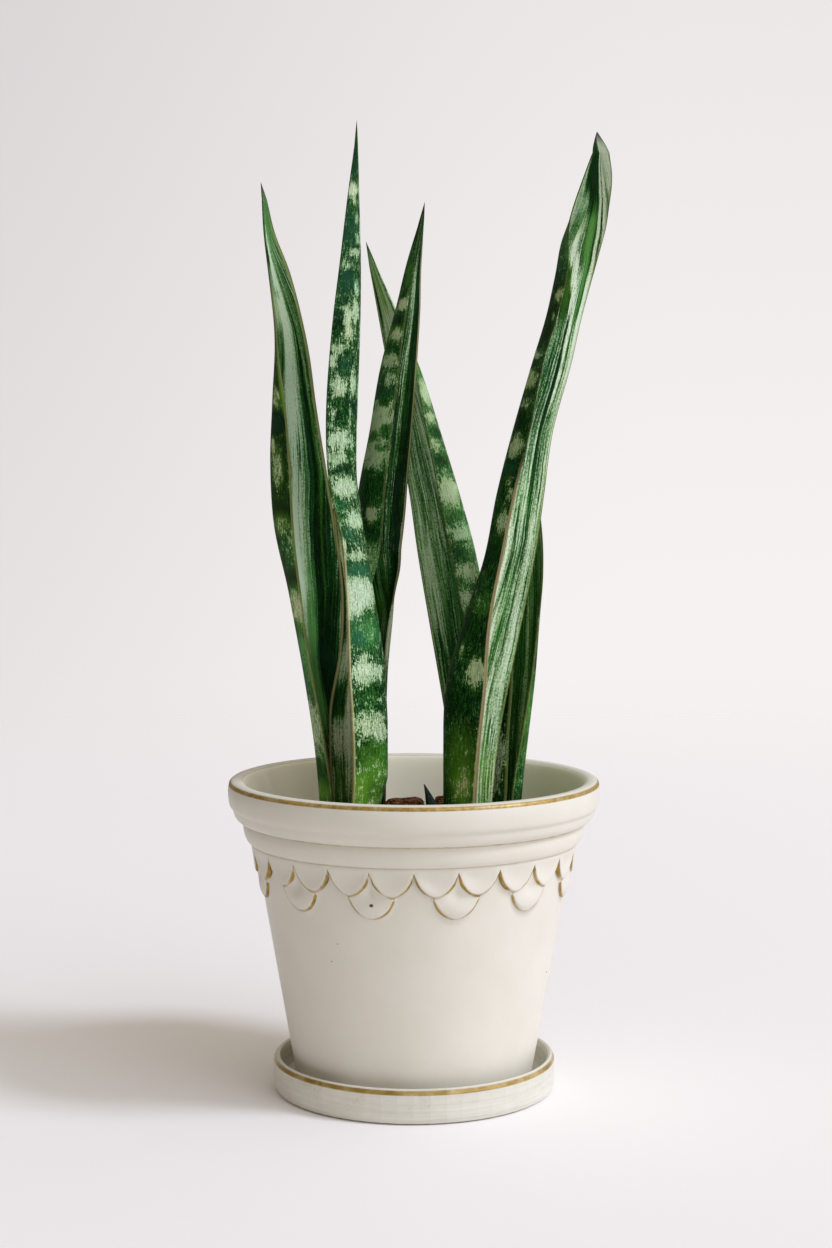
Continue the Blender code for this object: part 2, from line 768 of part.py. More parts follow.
def make_soil(parts: bpy.types.Collection, helpers: bpy.types.Collection) -> None:
    """The potting mix, with room for the rootstock, the leaves and the young shoot."""
    soil = applied(turned("soil", soil_profile(), SOIL_STEPS, False, parts))
    for vertex in soil.data.vertices:
        x, y, height = vertex.co / MM
        radius = math.hypot(x, y)
        if height > SOIL_EDGE - 1.0 and MOUND_RADIUS + 1.0 < radius < 72.0:
            rise = math.sin(0.9 * x + 0.31 * y) * math.cos(0.83 * y - 0.27 * x)
            vertex.co.z += rise * CRUMB_HEIGHT * MM
    rootstock_shapes(helpers, CLEARANCE)
    for leaf in LEAVES:
        leaf_hole(leaf, helpers)
    hole_foot = (*SHOOT_FOOT, LEAF_FOOT - 2.0 * CLEARANCE)
    tube("shoot_hole", (hole_foot, *SHOOT_PATH[1:]), SHOOT_RADII, helpers, CLEARANCE)
    boolean(soil, helpers, "DIFFERENCE")
    finished(soil, new_material("soil_grain", (0.10, 0.06, 0.035), 0.95))


def bark_piece(name: str, centre: tuple[float, float], length: float, width: float, tall: float,
               turn: float, parts: bpy.types.Collection) -> None:
    """A split piece of bark: flat below, ridged along its length above, uneven at its ends."""
    lengthwise = (-1.0, -0.86, -0.55, -0.2, 0.15, 0.5, 0.82, 1.0)
    crosswise = (-1.0, -0.92, -0.6, -0.3, 0.0, 0.3, 0.6, 0.92, 1.0)
    heading = math.radians(turn)
    rings = []
    for along in lengthwise:
        end = 1.0 - 0.30 * abs(along) ** 6
        ring = []
        for across in crosswise:
            edge = 0.35 if abs(across) == 1.0 else 1.0
            ridge = 1.0 - 0.05 * math.cos(9.0 * across + 1.3 * along) - 0.04 * math.sin(4.0 * along + 2.0)
            ring.append((across * (0.97 if edge < 1.0 else 0.95), tall * end * edge * ridge))
        ring += [(0.94, 0.0), (0.0, 0.0), (-0.94, 0.0)]
        shift = 0.09 * math.sin(5.0 * along)
        points = []
        for across, height in ring:
            a, b = along * length / 2.0, (across * end + shift) * width / 2.0
            points.append(Vector((centre[0] + a * math.cos(heading) - b * math.sin(heading),
                                  centre[1] + a * math.sin(heading) + b * math.cos(heading),
                                  BARK_BOTTOM + height)))
        rings.append(points)
    points, faces = skin(rings, around=False)
    piece = mesh_object(name, points, faces, parts)
    finished(piece, new_material(f"{name}_bark", (0.22, 0.09, 0.045), 0.85), sharp=25.0)


def main() -> None:
    """Build the whole plant."""
    clear_scene()
    parts = new_collection("potted_snake_plant")
    helpers = new_collection("helpers", helpers=True)
    make_pot(parts, helpers)
    make_saucer(parts)
    make_rootstock(parts, helpers)
    make_soil(parts, helpers)
    for leaf in LEAVES:
        make_leaf(leaf, parts)
    make_shoot(parts)
    bark_piece("bark_chip", CHIP_CENTRE, CHIP_LENGTH, CHIP_WIDTH, CHIP_HEIGHT, -3.0, parts)
    bark_piece("bark_crumb", CRUMB_CENTRE, CRUMB_LENGTH, CRUMB_WIDTH, CRUMB_TALL, 20.0, parts)


main()
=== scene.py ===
"""Potted snake plant of the Bantel's Sensation kind: finished surfaces, light, floor and camera.

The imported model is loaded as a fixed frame. The leaves and the pot are made again here as finer meshes in the
same places, loose crumbs are added on the potting mix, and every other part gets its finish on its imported
mesh. Lengths in the tables are millimetres and angles are degrees; meshes are in metres.
"""

import logging
import math
import random
from dataclasses import dataclass
from enum import Enum
from typing import Callable, NamedTuple, Union

import bmesh
import bpy
import numpy as np
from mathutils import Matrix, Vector


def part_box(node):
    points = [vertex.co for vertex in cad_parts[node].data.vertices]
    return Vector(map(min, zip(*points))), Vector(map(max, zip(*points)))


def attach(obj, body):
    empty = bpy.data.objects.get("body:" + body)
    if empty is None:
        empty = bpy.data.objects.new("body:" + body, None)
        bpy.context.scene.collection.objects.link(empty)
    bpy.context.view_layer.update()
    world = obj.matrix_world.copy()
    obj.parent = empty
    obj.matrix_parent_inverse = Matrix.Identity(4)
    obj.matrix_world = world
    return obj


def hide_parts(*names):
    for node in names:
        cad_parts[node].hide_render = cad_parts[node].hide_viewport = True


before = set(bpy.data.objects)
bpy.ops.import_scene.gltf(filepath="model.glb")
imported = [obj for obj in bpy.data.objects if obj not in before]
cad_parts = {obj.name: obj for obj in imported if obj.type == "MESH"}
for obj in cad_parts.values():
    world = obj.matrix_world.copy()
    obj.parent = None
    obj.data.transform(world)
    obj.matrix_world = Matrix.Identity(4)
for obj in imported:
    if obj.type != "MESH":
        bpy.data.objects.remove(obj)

logging.basicConfig(level=logging.INFO, format="%(message)s")
log = logging.getLogger("plant")

MM = 0.001
BODY = "root"
HEIGHT_SPAN = 500.0
BLADE_SPAN = 56.0
PLACE_UV = "place"
NOISE_SPREAD = 2.3

Value = Union["Wire", float, tuple]
Colour = tuple[float, float, float, float]
Faces = list[tuple[int, ...]]


def srgb(*levels: float) -> Colour:
    """Turn red, green and blue from 0 to 255 on a screen into the linear colour that a shader takes."""
    parts = [level / 255.0 for level in levels]
    return (*(part / 12.92 if part <= 0.04045 else ((part + 0.055) / 1.055) ** 2.4 for part in parts), 1.0)


def arithmetic(operation: str, swapped: bool = False) -> Callable[["Wire", Value], "Wire"]:
    """Make an operator method that adds one Math node.

    Args:
        operation: the node's operation.
        swapped: whether the other value comes first.

    Returns:
        The method.
    """

    def method(self: "Wire", other: Value) -> "Wire":
        """Join this and the other."""
        return self.graph.math(operation, *((other, self) if swapped else (self, other)))

    return method


class Wire:
    """One output of a shader graph that can be used in arithmetic."""

    LINE_CORE = 0.55

    def __init__(self, graph: "Graph", socket: bpy.types.NodeSocket) -> None:
        """Keep the graph and its output socket."""
        self.graph = graph
        self.socket = socket

    __add__ = arithmetic("ADD")
    __radd__ = arithmetic("ADD", swapped=True)
    __sub__ = arithmetic("SUBTRACT")
    __rsub__ = arithmetic("SUBTRACT", swapped=True)
    __mul__ = arithmetic("MULTIPLY")
    __rmul__ = arithmetic("MULTIPLY", swapped=True)

    def __abs__(self) -> "Wire":
        """Size without the sign."""
        return self.graph.math("ABSOLUTE", self, 0.0)

    def clamped(self) -> "Wire":
        """This held between 0 and 1."""
        return self.graph.math("ADD", self, 0.0, clamp=True)

    def step(self, low: float, high: float) -> "Wire":
        """Smooth rise from 0 at low to 1 at high."""
        return self.graph.node("ShaderNodeMapRange", {"interpolation_type": "SMOOTHSTEP", "clamp": True},
                               {"Value": self, "From Min": low, "From Max": high})

    def line(self, centre: float, reach: float) -> "Wire":
        """1 on a line at centre, falling to 0 at reach on either side."""
        return 1.0 - abs(self - centre).step(reach * self.LINE_CORE, reach)


class Graph:
    """The node graph of a material or a world, with the shader at its end."""

    def __init__(self, owner: bpy.types.Material | bpy.types.World, shader: str = "Principled BSDF") -> None:
        """Take hold of the graph.

        Args:
            owner: the material or world.
            shader: name of the shader node at its end.
        """
        owner.use_nodes = True
        self.owner = owner
        self.tree = owner.node_tree
        self.shader = self.tree.nodes[shader]

    @classmethod
    def of_material(cls, name: str) -> "Graph":
        """The graph of a new material."""
        return cls(bpy.data.materials.new(name))

    def put(self, socket: bpy.types.NodeSocket, value: Value) -> None:
        """Link a wire to a socket or set its constant.

        Args:
            socket: the input.
            value: the wire or constant.
        """
        if isinstance(value, Wire):
            self.tree.links.new(value.socket, socket)
        else:
            socket.default_value = value

    def node(self, kind: str, settings: dict | None = None, inputs: dict | None = None,
             output: int | str = 0) -> Wire:
        """Add a node of any kind.

        Args:
            kind: the node's type.
            settings: its own settings, set before its inputs.
            inputs: socket name or number to wire or constant.
            output: name or number of the output to return.

        Returns:
            The asked output.
        """
        made = self.tree.nodes.new(kind)
        for key, value in (settings or {}).items():
            setattr(made, key, value)
        for key, value in (inputs or {}).items():
            self.put(made.inputs[key], value)
        return Wire(self, made.outputs[output])

    def math(self, operation: str, first: Value, second: Value, clamp: bool = False) -> Wire:
        """One step of arithmetic."""
        settings = {"operation": operation, "use_clamp": clamp}
        return self.node("ShaderNodeMath", settings, {0: first, 1: second})

    def root(self, square: Wire) -> Wire:
        """Square root."""
        return self.math("POWER", square, 0.5)

    def mix(self, factor: Value, first: Value, second: Value) -> Wire:
        """Mix two colours."""
        return self.node("ShaderNodeMix", {"data_type": "RGBA"}, {0: factor, 6: first, 7: second}, 2)

    def vector(self, x: Value, y: Value, z: Value) -> Wire:
        """Join three numbers."""
        return self.node("ShaderNodeCombineXYZ", None, {0: x, 1: y, 2: z})

    def split(self, wire: Wire) -> tuple[Wire, Wire, Wire]:
        """Take a vector apart."""
        made = self.node("ShaderNodeSeparateXYZ", None, {0: wire}).socket.node
        return tuple(Wire(self, socket) for socket in made.outputs)

    def attribute(self, name: str) -> tuple[Wire, Wire, Wire]:
        """The three numbers of a surface attribute."""
        return self.split(self.node("ShaderNodeAttribute", {"attribute_name": name}, None, "Vector"))

    def noise(self, vector: Wire, scale: float = 1.0, detail: float = 3.0, rough: float = 0.55) -> Wire:
        """Cloudy noise around 0, mostly between -0.5 and 0.5."""
        inputs = {"Vector": vector, "Scale": scale, "Detail": detail, "Roughness": rough}
        return (self.node("ShaderNodeTexNoise", None, inputs) - 0.5) * NOISE_SPREAD

    def millimetres(self) -> tuple[Wire, Wire, Wire, Wire]:
        """Find the place on the object in millimetres.

        Returns:
            The place, whole and taken apart.
        """
        place = self.node("ShaderNodeTexCoord", None, None, "Object")
        spot = self.node("ShaderNodeVectorMath", {"operation": "SCALE"}, {0: place, "Scale": 1.0 / MM})
        return spot, *self.split(spot)

    def bump(self, height: Wire, strength: float, distance: float) -> Wire:
        """A bump normal from a height, with its distance in metres."""
        inputs = {"Height": height, "Strength": strength, "Distance": distance}
        return self.node("ShaderNodeBump", None, inputs)

    def finish(self, **inputs: Value) -> bpy.types.Material | bpy.types.World:
        """Set the shader's inputs.

        Args:
            inputs: what each one gets, named with underscores for spaces.

        Returns:
            The material or world.
        """
        for key, value in inputs.items():
            self.put(self.shader.inputs[key.replace("_", " ")], value)
        return self.owner


def ring_faces(rings: int, size: int, start: int = 0, closed: bool = False) -> Faces:
    """Make the faces between closed rings of points.

    Args:
        rings: how many rings there are.
        size: points in a ring.
        start: number of the first ring's first point.
        closed: whether the last ring is joined to the first.

    Returns:
        The faces, each with four corners.
    """
    faces = []
    for i in range(rings if closed else rings - 1):
        here, there = start + i * size, start + (i + 1) % rings * size
        for j in range(size):
            after = (j + 1) % size
            faces.append((here + j, here + after, there + after, there + j))
    return faces


def mesh_piece(name: str, points: list | np.ndarray, faces: Faces, *materials: bpy.types.Material,
               closed: bool = True) -> bpy.types.Object:
    """Make a smooth-shaded object and link it to the scene.

    Args:
        name: name of the piece.
        points: rows of x, y, z in millimetres.
        faces: corners of each face.
        materials: its finishes.
        closed: whether the mesh is closed, so that its faces are turned outwards.

    Returns:
        The new object.
    """
    mesh = bpy.data.meshes.new(name)
    mesh.from_pydata((np.asarray(points, float) * MM).tolist(), [], faces)
    mesh.shade_smooth()
    piece = bpy.data.objects.new(name, mesh)
    bpy.context.scene.collection.objects.link(piece)
    if closed:
        shape = bmesh.new()
        shape.from_mesh(mesh)
        bmesh.ops.recalc_face_normals(shape, faces=shape.faces)
        shape.to_mesh(mesh)
        shape.free()
    for material in materials:
        mesh.materials.append(material)
    return piece


def point_attribute(piece: bpy.types.Object, name: str, values: list | np.ndarray) -> None:
    """Store three numbers on each point of a mesh."""
    layer = piece.data.attributes.new(name, "FLOAT_VECTOR", "POINT")
    layer.data.foreach_set("vector", np.asarray(values, np.float32).ravel())


def mount(piece: bpy.types.Object, slot: str, *nodes: str) -> None:
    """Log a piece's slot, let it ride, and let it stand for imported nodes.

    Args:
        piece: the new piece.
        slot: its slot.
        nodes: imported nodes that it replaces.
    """
    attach(piece, BODY)
    if nodes:
        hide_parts(*nodes)
    log.info("piece %s: %d faces, slot %s", piece.name, len(piece.data.polygons), slot)


def dress(material: bpy.types.Material, *nodes: str) -> None:
    """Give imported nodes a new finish.

    Args:
        material: the finish.
        nodes: names of the nodes.
    """
    for node in nodes:
        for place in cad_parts[node].material_slots:
            place.material = material
        log.info("node %s: finish %s", node, material.name)


def table(kind: type, *rows: tuple[float, ...]) -> tuple:
    """Plain rows as a table of a named kind."""
    return tuple(kind(*row) for row in rows)


class Face(Enum):
    """The two faces of a leaf."""

    OUTER = 0
    INNER = 1


class Station(NamedTuple):
    """One level cut through a leaf: its fold line, width, heading and fold."""

    height: float
    keel_x: float
    keel_y: float
    width: float
    facing: float
    fold: float


class Mark(NamedTuple):
    """A soft-edged marking on a face: where it lies, how far it reaches and what it does there."""

    height: float
    across: float
    tall: float
    wide: float
    pale: float = 0.0
    # light makes the green lighter or darker; on some marks it is painted light and painted shade.
    light: float = 0.0
    tint: float = 0.0


class Rim(NamedTuple):
    """A coloured line along a margin: side, heights, strength, width, greenness, share on the outer face."""

    side: float
    low: float
    high: float
    strength: float
    width: float
    green: float = 0.0
    outside: float = 0.45


@dataclass(frozen=True)
class FaceFinish:
    """How one face of a leaf is coloured.

    marks are the markings seen from the front; wild_low to wild_high is the part across the face that is
    marked by chance instead. pale is how ready the plain surface is to break into pale flecks, light how
    bright its green is, partly the leaf's own green and partly painted light and shade where the face lies
    lit or in shade, tint how yellow it is, glow how white its flecks are, raised on some faces as painted
    light, and fresh how green its pale parts are.
    """

    marks: tuple[Mark, ...] = ()
    wild_low: float = -1.0
    wild_high: float = 1.0
    pale: float = -0.62
    light: float = 0.30
    tint: float = 0.0
    glow: float = 0.3
    fresh: float = 0.0
    streaky: bool = False


def face(*rows: tuple[float, ...], **settings: float) -> FaceFinish:
    """A face's finish from plain rows of its marks and its settings."""
    return FaceFinish(table(Mark, *rows), **settings)


@dataclass(frozen=True)
class LeafSize:
    """A channelled leaf, given by level cuts from its foot to its tip.

    sway is how far the fibres of the inner face have moved across it at some heights.
    """

    name: str
    cuts: tuple[Station, ...]
    tip: tuple[float, float, float]
    outer: FaceFinish
    inner: FaceFinish
    rims: tuple[Rim, ...] = ()
    crease: float = 2.2
    keel_thickness: float = 3.4
    keel_thinning: float = 0.72
    margin_thickness: float = 1.1
    margin_thinning: float = 0.40
    tip_fullness: float = 1.15
    sway: tuple[tuple[float, float], ...] = ((0.0, 0.0),)
    seed: int = 1

    def finish(self, side: Face) -> FaceFinish:
        """The finish of one of its faces."""
        return self.outer if side is Face.OUTER else self.inner


@dataclass(frozen=True)
class LeafColours:
    """Colours that all the leaves share."""

    deep: Colour = srgb(3, 32, 7)
    green: Colour = srgb(34, 92, 36)
    bright: Colour = srgb(104, 166, 88)
    blue: Colour = srgb(52, 112, 84)
    olive: Colour = srgb(100, 156, 34)
    mint: Colour = srgb(172, 206, 158)
    fresh: Colour = srgb(140, 206, 122)
    cream: Colour = srgb(210, 215, 158)
    white: Colour = srgb(240, 250, 230)
    dew: Colour = srgb(196, 246, 184)
    rim: Colour = srgb(222, 198, 156)
    rim_green: Colour = srgb(150, 172, 92)
    rim_line: Colour = srgb(60, 56, 26)
    tip: Colour = srgb(44, 36, 22)


COLOURS = LeafColours()


class LeafSkin:
    """The finish of one face of a leaf."""

    BROWN_TIP = 9.0

    def __init__(self, leaf: LeafSize, side: Face) -> None:
        """Make the material.

        Args:
            leaf: the leaf.
            side: which of its faces.
        """
        self.leaf = leaf
        self.finish = leaf.finish(side)
        self.seed = leaf.seed * 17.0 + side.value * 7.0
        self.graph = Graph.of_material(f"{leaf.name}_{side.name.lower()}_skin")
        self.material = self.build()

    def noise(self, x: Wire, y: Wire, salt: float, detail: float = 3.0, rough: float = 0.55) -> Wire:
        """Noise over two coordinates of the face; the salt keeps noises apart."""
        return self.graph.noise(self.graph.vector(x, y, self.seed + salt), 1.0, detail, rough)

    def build(self) -> bpy.types.Material:
        """Wire the markings, the green, the rim and the fibres.

        Returns:
            The material.
        """
        graph, noise, fresh = self.graph, self.noise, self.finish.fresh
        mix = graph.mix
        u, v, _ = graph.split(graph.node("ShaderNodeUVMap", {"uv_map": PLACE_UV}))
        across, height = u * BLADE_SPAN, v * HEIGHT_SPAN
        lane = across + noise(height * 0.035, across * 0.05, 21.0) * 1.2
        thread = noise(lane * 0.9, height * 0.012, 0.0, 5.0, 0.72)
        shade = noise(lane * 0.8, height * 0.010, 30.0, 5.0, 0.72)
        hair = noise(lane * 3.2, height * 0.05, 24.0, 3.0, 0.6)
        stroke = noise(across * 1.5, height * 0.2, 3.0, 4.0, 0.65)
        blotch = noise(across * 0.22, height * 0.24, 6.0, 6.0, 0.72)
        fleck = noise(across * 1.2, height * 0.9, 18.0, 4.0, 0.65)
        cloud = noise(across * 0.06, height * 0.04, 9.0, 2.0)
        # light holds the leaf's own lightness together with painted light and shade; depth and shadow follow
        # it.
        pale, light, tint = graph.attribute("marks")
        rim_gap, rim_strength, rim_green = graph.attribute("edges")
        if self.finish.streaky:
            field = pale + thread * 2.0 + hair * 0.9 + fleck * 0.55 + blotch * 0.3
            cover = field.step(-0.16, 0.36)
            depth = light + shade * 1.3 + hair * 0.7 + fleck * 0.5 + cloud * 0.3
            veil = 0.0
        else:
            field = pale + blotch * 1.3 + stroke * 1.0 + fleck * 0.85
            cover = field.step(-0.07, 0.13)
            depth = light + blotch * 0.4 + stroke * 0.7 + fleck * 0.8 + cloud * 0.4
            veil = (field + fleck * 0.6).step(-0.60, 0.10) * 0.28
        green = mix((depth * 2.0).clamped(), COLOURS.deep, COLOURS.green)
        green = mix((depth * 2.0 - 1.0).clamped(), green, COLOURS.bright)
        green = mix(((tint + cloud * 0.25) * -0.9).clamped(), green, COLOURS.blue)
        green = mix(((tint + stroke * 0.3) * 0.8).clamped(), green, COLOURS.olive)
        green = mix(veil, green, COLOURS.bright)
        warmth = (tint * 0.75 + stroke * 0.5 + 0.10).clamped()
        patch = mix(warmth, mix(fresh, COLOURS.mint, COLOURS.fresh), COLOURS.cream)
        glow = (field.step(0.0, 1.2) * self.finish.glow + stroke * 0.15 + hair * 0.2).clamped()
        patch = mix(glow, patch, mix(fresh, COLOURS.white, COLOURS.dew))
        shadow = (0.36 - light * 0.5 - shade * 0.7 - stroke * 1.1 - fleck * 1.0).clamped()
        patch = mix(shadow, patch, COLOURS.green)
        colour = mix(cover, green, patch)
        rim = (1.0 - (rim_gap + thread * 0.45).step(0.55, 1.1)) * rim_strength
        colour = mix(rim.clamped(), colour, mix(rim_green, COLOURS.rim, COLOURS.rim_green))
        colour = mix((1.0 - rim_gap.step(0.10, 0.26)) * 0.45, colour, COLOURS.rim_line)
        tip = self.leaf.tip[2]
        colour = mix(height.step(tip - self.BROWN_TIP, tip) * 0.9, colour, COLOURS.tip)
        fibre = noise(across * 1.7, height * 0.03, 12.0, 3.0, 0.6)
        dimple = noise(across * 0.9, height * 0.5, 15.0, 2.0)
        return graph.finish(
            Base_Color=colour,
            Roughness=0.5 + cover * 0.06 + stroke * 0.08,
            Specular_IOR_Level=0.05,
            Normal=graph.bump(fibre * 0.45 + dimple * 0.18 + cover * 0.08, 0.45, 0.0005),
        )


def smooth_curve(values: tuple[float, ...], stops: list[float], at: float) -> float:
    """Read a smooth curve whose slopes come from the neighbouring values.

    Args:
        values: value at each stop.
        stops: rising stops.
        at: where to read it.

    Returns:
        The value there.
    """
    last = len(stops) - 1
    i = max(0, min(last - 1, sum(1 for stop in stops if stop <= at) - 1))
    span = stops[i + 1] - stops[i]

    def slope(k: int) -> float:
        """Slope at a stop."""
        low, high = max(0, k - 1), min(last, k + 1)
        return (values[high] - values[low]) / (stops[high] - stops[low])

    t = (at - stops[i]) / span
    rise = t * t * (3.0 - 2.0 * t)
    lead = t * (1.0 - t) ** 2 * span * slope(i)
    tail = t * t * (t - 1.0) * span * slope(i + 1)
    return values[i] + (values[i + 1] - values[i]) * rise + lead + tail


def between(values: np.ndarray, low: float, high: float, soft: float) -> np.ndarray:
    """1 between low and high, falling to 0 over a soft length within each end."""
    return np.clip((values - low) / soft, 0.0, 1.0) * np.clip((high - values) / soft, 0.0, 1.0)


class LeafBlade:
    """One leaf as a fine closed blade with its markings stored on its points."""

    RING_STEP = 2.4
    HALF_COLUMNS = 32
    PIECES_PER_COLUMN = 2
    EDGE_POINTS = 2
    EDGE_BULGE = 0.38
    TIP_STEPS = (0.2, 0.4, 0.6, 0.78, 0.92)
    MARK_REACH = 1.55
    MARK_SOFTNESS = 1.25
    PALE_RANGE = (-1.6, 1.3)
    WILD_SOFTNESS = 0.08
    RIM_SOFTNESS = 20.0
    # Marks by chance are drawn from these ranges. A stripe: across, tall, wide, pale and light. A crossband:
    # drift in height, across, tall, wide, pale and tint.
    STRIPES = 9
    STRIPES_FROM = 120.0
    STRIPE = ((-0.95, 0.95), (50.0, 140.0), (0.04, 0.14), (0.3, 0.8), (-0.1, 0.25))
    BAND_STEP = (8.0, 17.0)
    BAND = ((-4.0, 4.0), (-0.95, 0.95), (3.0, 8.0), (0.12, 0.42), (0.6, 1.1), (-0.1, 0.3))

    def __init__(self, leaf: LeafSize) -> None:
        """Build the blade and put it in place of its node.

        Args:
            leaf: sizes and finishes of the leaf.
        """
        self.leaf = leaf
        self.stops = [cut.height for cut in leaf.cuts]
        self.ring_size = 2 * (2 * self.HALF_COLUMNS + 1) + 2 * self.EDGE_POINTS
        # Each row is x, y, z, the place across, the height, whether it is inside and the gap to the margin.
        self.rows: list[tuple[float, ...]] = []
        self.build()

    def turn_at(self, fold: float, across: float) -> float:
        """How far a half of the blade has turned at a place from keel to margin."""
        return fold * math.tanh(self.leaf.crease * across) / math.tanh(self.leaf.crease)

    def thickness_at(self, height: float, across: float) -> float:
        """Work out the blade's thickness, thinner towards the margins and the tip.

        Args:
            height: height of the cut.
            across: place from keel to margin.

        Returns:
            The thickness.
        """
        rise = (height - self.stops[0]) / (self.stops[-1] - self.stops[0])
        keel = self.leaf.keel_thickness * (1.0 - self.leaf.keel_thinning * rise)
        margin = self.leaf.margin_thickness * (1.0 - self.leaf.margin_thinning * rise)
        return margin + (keel - margin) * (1.0 - across * across)

    def half_section(self, half: float, fold: float) -> list[tuple[float, float, float, float]]:
        """Walk one half of a cut from keel to margin.

        Args:
            half: length of the half.
            fold: turn that it has reached at the margin.

        Returns:
            Place across, distance along, depth and turn of each column.
        """
        pieces = self.HALF_COLUMNS * self.PIECES_PER_COLUMN
        along = depth = 0.0
        places = [(0.0, 0.0, 0.0, 0.0)]
        for k in range(1, pieces + 1):
            turn = self.turn_at(fold, (k - 0.5) / pieces)
            along += math.cos(turn) * half / pieces
            depth += math.sin(turn) * half / pieces
            if k % self.PIECES_PER_COLUMN == 0:
                places.append((k / pieces, along, depth, self.turn_at(fold, k / pieces)))
        return places

    def edge(self, start: Vector, end: Vector, within: Vector) -> list[Vector]:
        """Round a margin off between its two faces.

        Args:
            start: last point of the one face.
            end: first point of the other.
            within: the point before start.

        Returns:
            The points between them.
        """
        chord = end - start
        out = (start + end) / 2.0 - within
        out -= chord * (out.dot(chord) / max(chord.length_squared, 1e-9))
        out = out.normalized() * chord.length * self.EDGE_BULGE
        parts = self.EDGE_POINTS + 1
        return [start.lerp(end, k / parts) + out * math.sin(math.pi * k / parts) for k in range(1, parts)]

    def add_ring(self, height: float) -> None:
        """Add the closed outline of the leaf at a height.

        Args:
            height: height of the cut.
        """
        cut = Station(*(smooth_curve(values, self.stops, height) for values in zip(*self.leaf.cuts)))
        facing = math.radians(cut.facing)
        side = Vector((math.cos(facing), math.sin(facing), 0.0))
        front = Vector((math.sin(facing), -math.cos(facing), 0.0))
        keel = Vector((cut.keel_x, cut.keel_y, height))
        half = self.half_section(cut.width / 2.0, math.radians(cut.fold))
        outer, inner = [], []
        places = [(-1.0, *place) for place in half[:0:-1]] + [(1.0, *place) for place in half]
        for sign, across, along, depth, turn in places:
            gap = (1.0 - across) * cut.width / 2.0
            for row, offset in ((outer, 0.0), (inner, self.thickness_at(height, across))):
                aside = sign * (along - math.sin(turn) * offset)
                ahead = depth + math.cos(turn) * offset
                row.append((keel + side * aside + front * ahead, sign * across, gap))
        right = [(point, 1.0, 0.0) for point in self.edge(outer[-1][0], inner[-1][0], outer[-2][0])]
        left = [(point, -1.0, 0.0) for point in self.edge(inner[0][0], outer[0][0], outer[1][0])]
        for part, inside in ((outer + right, 0.0), (inner[::-1], 1.0), (left, 0.0)):
            self.rows += [(*point, across, height, inside, gap) for point, across, gap in part]

    def add_tip_ring(self, way: float, ring: list[tuple[float, ...]]) -> None:
        """Add a ring that is drawn in towards the tip.

        Args:
            way: part of the way from the last cut to the tip.
            ring: rows of the last cut.
        """
        shrink = 1.0 - way ** self.leaf.tip_fullness
        middle = sum((Vector(row[:3]) for row in ring), Vector()) / len(ring)
        for *point, across, _, inside, gap in ring:
            moved = middle.lerp(Vector(self.leaf.tip), way) + (Vector(point) - middle) * shrink
            self.rows.append((*moved, across, moved.z, inside, gap * shrink))

    def wild_marks(self, side: Face) -> list[Mark]:
        """Mark a face by chance: ragged crossbands on the outer one, long stripes on the inner.

        Args:
            side: which face.

        Returns:
            The marks.
        """
        draw = random.Random(self.leaf.seed * 31 + side.value)
        height, top = self.stops[0], self.stops[-1]
        if side is Face.INNER:
            return [Mark(draw.uniform(self.STRIPES_FROM, top), *(draw.uniform(*span) for span in self.STRIPE))
                    for _ in range(self.STRIPES)]
        marks = []
        while height < top + self.BAND_STEP[0]:
            height += draw.uniform(*self.BAND_STEP)
            for _ in range(draw.randint(1, 3)):
                drift, *reach, tint = [draw.uniform(*span) for span in self.BAND]
                marks.append(Mark(height + drift, *reach, tint=tint))
            marks.append(Mark(height, draw.uniform(-0.9, 0.9), 22.0, 0.5, light=draw.uniform(-0.25, 0.2)))
        return marks

    def lanes(self, side: Face) -> np.ndarray:
        """Place of every point across the fibres of a face."""
        stops, shifts = zip(*self.leaf.sway)
        return self.across + (np.interp(self.heights, stops, shifts) if side is Face.INNER else 0.0)

    def marks_at(self, side: Face) -> np.ndarray:
        """Add up the marks of a face at every point.

        Args:
            side: which face.

        Returns:
            Pale, light and tint for each point.
        """
        finish = self.leaf.finish(side)
        across = self.lanes(side)
        result = np.tile(np.array([finish.pale, finish.light, finish.tint]), (len(across), 1))
        chance = between(across, finish.wild_low, finish.wild_high, self.WILD_SOFTNESS)
        placed = [(mark, 1.0 - chance) for mark in finish.marks]
        for mark, weight in placed + [(mark, chance) for mark in self.wild_marks(side)]:
            apart = np.hypot((across - mark.across) / mark.wide, (self.heights - mark.height) / mark.tall)
            shape = np.clip((self.MARK_REACH - apart) / self.MARK_SOFTNESS, 0.0, 1.0)
            shape = shape * shape * (3.0 - 2.0 * shape) * weight
            result += shape[:, None] * np.array([mark.pale, mark.light, mark.tint])
        result[:, 0] = np.clip(result[:, 0], *self.PALE_RANGE)
        return result

    def margins(self) -> np.ndarray:
        """Work out the coloured lines along the margins.

        Returns:
            Gap to the margin in line widths, strength and greenness for each point.
        """
        strength, tone = np.zeros((2, len(self.across)))
        width = np.ones(len(self.across))
        for rim in self.leaf.rims:
            runs = between(self.heights, rim.low, rim.high, self.RIM_SOFTNESS) * rim.strength
            runs = runs * (self.across * rim.side > 0.0) * np.where(self.inside, 1.0, rim.outside)
            width = np.where(runs > strength, rim.width, width)
            tone = np.where(runs > strength, rim.green, tone)
            strength = np.maximum(strength, runs)
        return np.stack([self.gaps / width, strength, tone], axis=1)

